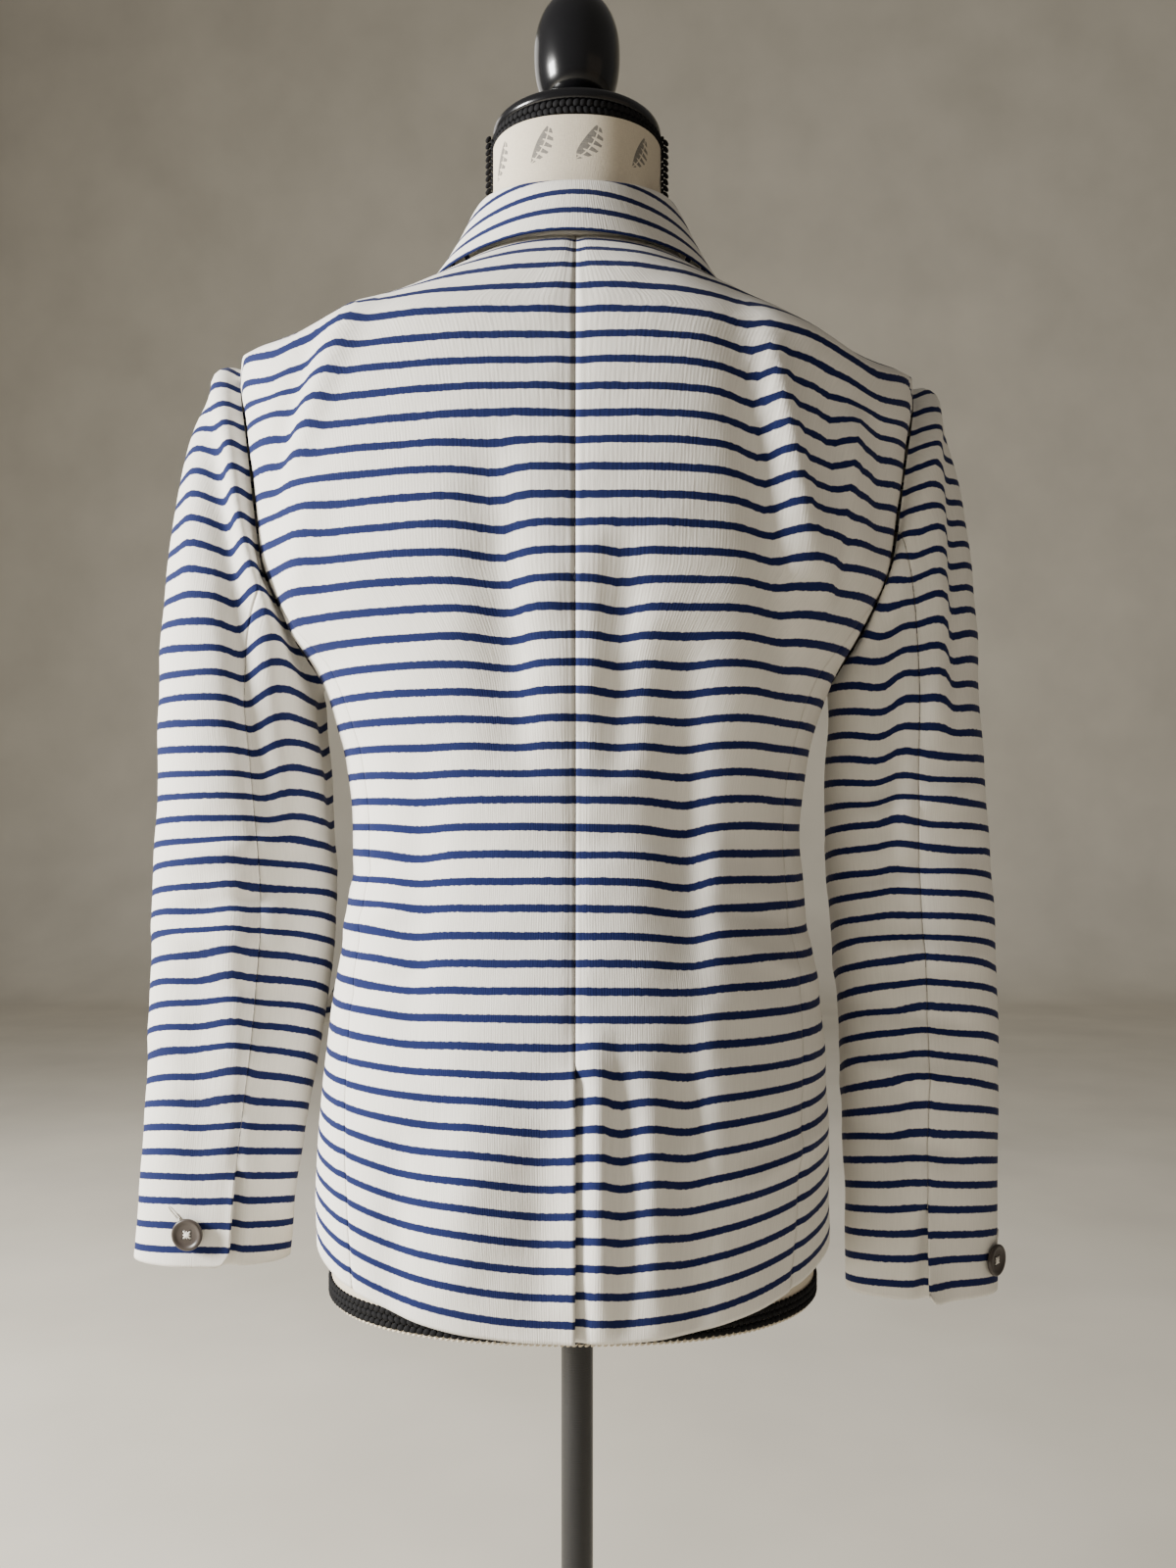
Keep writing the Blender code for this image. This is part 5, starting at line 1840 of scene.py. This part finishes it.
@dataclass
class Buttons:
    """The cuff buttons with their buttonholes, and the front buttons."""
    horn: bpy.types.Material
    thread: bpy.types.Material
    radius: float = 0.0100
    height: float = 0.0035
    hole_radius: float = 0.0010
    hole_ring: float = 0.0031

    def button(self, node: str, place: Vector, facing: Vector) -> None:
        """A dished four-hole button with a crossed thread.

        Args:
            node: The solid that it stands for.
            place: Middle of its underside.
            facing: The direction that its face looks in.
        """
        rim = self.height
        profile = ((0.0, 0.0), (0.0088, 0.0), (0.0097, 0.0010), (self.radius, 0.0021), (0.0097, 0.0031),
                   (0.0088, rim), (0.0078, rim - 0.0003), (0.0062, rim - 0.0012), (0.0, rim - 0.0014))
        disc = revolve(node, soft_profile(profile, 2), 64)
        for turn in range(4):
            angle = math.radians(45.0 + 90.0 * turn)
            middle = (self.hole_ring * math.cos(angle), self.hole_ring * math.sin(angle), 0.0)
            bpy.ops.object.select_all(action="DESELECT")
            bpy.ops.mesh.primitive_cylinder_add(vertices=20, radius=self.hole_radius, depth=0.02,
                                                location=middle)
            cutter = bpy.context.object
            hole = disc.modifiers.new("Hole", "BOOLEAN")
            hole.object = cutter
            hole.solver = "EXACT"
            select_only(disc)
            bpy.ops.object.modifier_apply(modifier=hole.name)
            bpy.data.objects.remove(cutter, do_unlink=True)
        disc.data.set_sharp_from_angle(angle=math.radians(40.0))
        strands = ((45.0, 0.0036), (135.0, 0.0036), (2.0, 0.0026), (92.0, 0.0026))
        places = np.array([(0.0, 0.0, rim - 0.0011)] * len(strands))
        sizes = np.array([(reach, 0.0007, 0.0006) for _, reach in strands])
        turns = [Matrix.Rotation(math.radians(turn), 3, "Z") for turn, _ in strands]
        star = grains("thread", places, sizes, turns)
        for piece in (disc, star):
            piece.rotation_euler = facing.to_track_quat("Z", "Y").to_euler()
            piece.location = place
        finish_piece(disc, f"visual_{node}", self.horn, [node])
        finish_piece(star, f"thread_{node}", self.thread, [])

    def cuff(self, side: Side, sleeve: Sleeve) -> None:
        """The button and the slanting buttonhole of one cuff.

        Args:
            side: The side it is on.
            sleeve: The sleeve of that side.
        """
        degrees, clear = (100.0, 0.0012) if side is Side.LEFT else (150.0, 0.0006)
        z = CUFF_Z[side] + 0.022
        mirror = np.array([side.value, 1.0, 1.0])

        def skin(turn: float, height: float, out: float) -> tuple[np.ndarray, np.ndarray]:
            """A point off the cuff's cloth and the outward direction there.

            Args:
                turn: Angle round the sleeve.
                height: Height above the floor.
                out: How far the point stands off the cloth.

            Returns:
                The point and the direction.
            """
            pair = sleeve.tube(np.array([turn - 1.5, turn + 1.5]), np.array([height, height]))
            ahead = pair[1] - pair[0]
            normal = np.array([-ahead[1], ahead[0], 0.0])
            normal = normal / np.linalg.norm(normal) * (1.0 if normal[1] >= 0.0 else -1.0)
            return settle((pair.mean(axis=0) + normal * out) * mirror), normal * mirror

        place, facing = skin(degrees, z, clear)
        self.button(f"cuff_button_{side.word}", Vector(place), Vector(facing))
        start = skin(degrees + 18.0, z + 0.0166, 0.0002)[0]
        end = skin(degrees + 8.0, z + 0.0086, 0.0002)[0]
        facing = skin(degrees + 13.0, z + 0.0120, 0.0002)[1]
        length = np.linalg.norm(end - start)
        run = (end - start) / length
        beside = np.cross(facing, run)
        loop = []
        for turn in np.linspace(0.0, math.tau, 30, endpoint=False):
            wide = 0.0009 + 0.0004 * math.exp(-((math.cos(turn) - 1.0) / 0.4) ** 2)
            point = (start + end) / 2.0 + run * math.cos(turn) * length / 2.0
            loop.append(point + beside * math.sin(turn) * wide)
        facings = np.repeat([facing], len(loop), axis=0)
        stitches = braid_along("buttonhole", np.array(loop), facings, 1, 0.0009, 0.0011)
        finish_piece(stitches, f"buttonhole_{side.word}", self.thread, [])

    def front(self, node: str, z: float, clear: float) -> None:
        """A button of the front closure, at a height and a distance off the cloth.

        Args:
            node: The solid that it stands for.
            z: Its height.
            clear: How far it stands off the cloth.
        """
        skin, far = (WORN.points(np.array([-179.9]), np.array([z]), np.array([out]))[0]
                     for out in (CLOTH_WALL + clear, 1.0))
        self.button(node, Vector(skin), Vector(far - skin).normalized())

    def build(self, sleeves: dict[Side, Sleeve]) -> None:
        """Make every button.

        Args:
            sleeves: The sleeve of each side.
        """
        for side, sleeve in sleeves.items():
            self.cuff(side, sleeve)
        self.front("front_button_top", 0.725, 0.0022)
        self.front("front_button_low", 0.640, 0.00044)


@dataclass(frozen=True)
class Lamp:
    """A soft studio lamp.

    Args:
        name: Its name.
        place: Where it hangs.
        aim: The point that it faces.
        size: The side of its square.
        power: Its power in watts.
        colour: Its colour.
    """
    name: str
    place: Point
    aim: Point
    size: float
    power: float
    colour: Point

    def build(self) -> None:
        """Add the lamp to the scene."""
        lamp = bpy.data.lights.new(self.name, "AREA")
        lamp.size = self.size
        lamp.energy = self.power
        lamp.color = self.colour
        holder = bpy.data.objects.new(self.name, lamp)
        bpy.context.scene.collection.objects.link(holder)
        holder.location = self.place
        holder.rotation_euler = (Vector(self.aim) - Vector(self.place)).to_track_quat("-Z", "Y").to_euler()


@dataclass
class Studio:
    """The backdrop, the lights and the camera."""
    paper: Colour = (0.70, 0.655, 0.56, 1.0)
    sweep_radius: float = 1.0
    sweep_start: float = -4.4
    sweep_near: float = 9.0
    sweep_half_width: float = 10.0
    sweep_height: float = 7.0
    glow: Colour = (0.80, 0.76, 0.70, 1.0)
    glow_strength: float = 0.22
    lens: float = 30.0
    lens_rise: float = 0.031
    camera_place: Point = (-0.0068, 0.82, 0.70)
    camera_degrees: Point = (90.0, 0.0, 180.0)
    lamps: tuple[Lamp, ...] = (
        Lamp("Key", (2.3, 0.75, 1.35), (0.0, 0.0, 0.75), 0.7, 205.0, (1.0, 0.985, 0.955)),
        Lamp("Fill", (-1.6, 1.4, 0.9), (0.0, 0.0, 0.7), 1.6, 1.5, (1.0, 0.74, 0.50)),
        Lamp("Front", (1.2, -1.8, 1.8), (0.0, 0.0, 0.7), 1.4, 9.0, (1.0, 0.97, 0.93)),
    )

    def backdrop(self) -> None:
        """A plain paper sweep under and behind the form."""
        radius, start = self.sweep_radius, self.sweep_start
        turn = [(start - radius * math.sin(a), radius - radius * math.cos(a))
                for a in np.linspace(0.0, math.pi / 2.0, 20)]
        line = [(self.sweep_near, 0.0)] + turn + [(start - radius, self.sweep_height)]
        points = [(x, y, z) for y, z in line for x in (-self.sweep_half_width, self.sweep_half_width)]
        faces = [(2 * i, 2 * i + 1, 2 * i + 3, 2 * i + 2) for i in range(len(line) - 1)]
        mesh = bpy.data.meshes.new("sweep")
        mesh.from_pydata(points, [], faces)
        mesh.shade_smooth()
        sweep = add_mesh("sweep", mesh)
        sweep.data.materials.append(PlainFinish("Paper", self.paper, 0.95, (3.0, 3.0, 3.0)).build())

    def camera(self) -> None:
        """The camera behind the form, at the photograph's distance and height."""
        lens = bpy.data.cameras.new("Camera")
        lens.sensor_fit = "VERTICAL"
        lens.sensor_height = 36.0
        lens.lens = self.lens
        lens.shift_y = self.lens_rise
        camera = bpy.data.objects.new("Camera", lens)
        bpy.context.scene.collection.objects.link(camera)
        camera.location = self.camera_place
        camera.rotation_euler = [math.radians(turn) for turn in self.camera_degrees]
        bpy.context.scene.camera = camera

    def build(self) -> None:
        """Set up the studio and the camera."""
        self.backdrop()
        for lamp in self.lamps:
            lamp.build()
        world = bpy.data.worlds.new("Studio")
        world.use_nodes = True
        background = world.node_tree.nodes["Background"]
        background.inputs["Color"].default_value = self.glow
        background.inputs["Strength"].default_value = self.glow_strength
        bpy.context.scene.world = world
        self.camera()


def main() -> None:
    """Dress every solid and set up the studio."""
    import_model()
    jersey = KnitFinish("Body jersey", BODY_STRIPE_START).build()
    sleeve_jersey = KnitFinish("Sleeve jersey", SLEEVE_STRIPE_START).build()
    collar_jersey = KnitFinish("Collar jersey", COLLAR_STRIPE_START).build()
    plain_jersey = KnitFinish("Plain jersey", 0.0, False).build()
    gloss = PlainFinish("Gloss black", (0.006, 0.006, 0.007, 1.0), 0.22, coat=0.25, specular=0.35).build()
    scratches = (4.0, 4.0, 1600.0)
    pole = PlainFinish("Scratched black", (0.014, 0.014, 0.015, 1.0), 0.30, scratches, 0.0004).build()
    braid = PlainFinish("Black braid", (0.008, 0.008, 0.009, 1.0), 0.80, bump=0.0002, specular=0.15).build()
    horn = PlainFinish("Dark horn", (0.055, 0.043, 0.036, 1.0), 0.34, (90.0, 90.0, 90.0)).build()
    thread = PlainFinish("Pale thread", (0.80, 0.77, 0.70, 1.0), 0.9).build()
    sleeves = {side: Sleeve(side, sleeve_jersey) for side in Side}
    cloth = Body(jersey).build()
    for sleeve in sleeves.values():
        cloth += sleeve.build()
    cloth += Collar(collar_jersey, plain_jersey).build()
    DressForm(LinenFinish().build(), braid, gloss, pole).build()
    Buttons(horn, thread).build(sleeves)
    Studio().build()


if __name__ == "__main__":
    logging.basicConfig(level=logging.INFO)
    main()
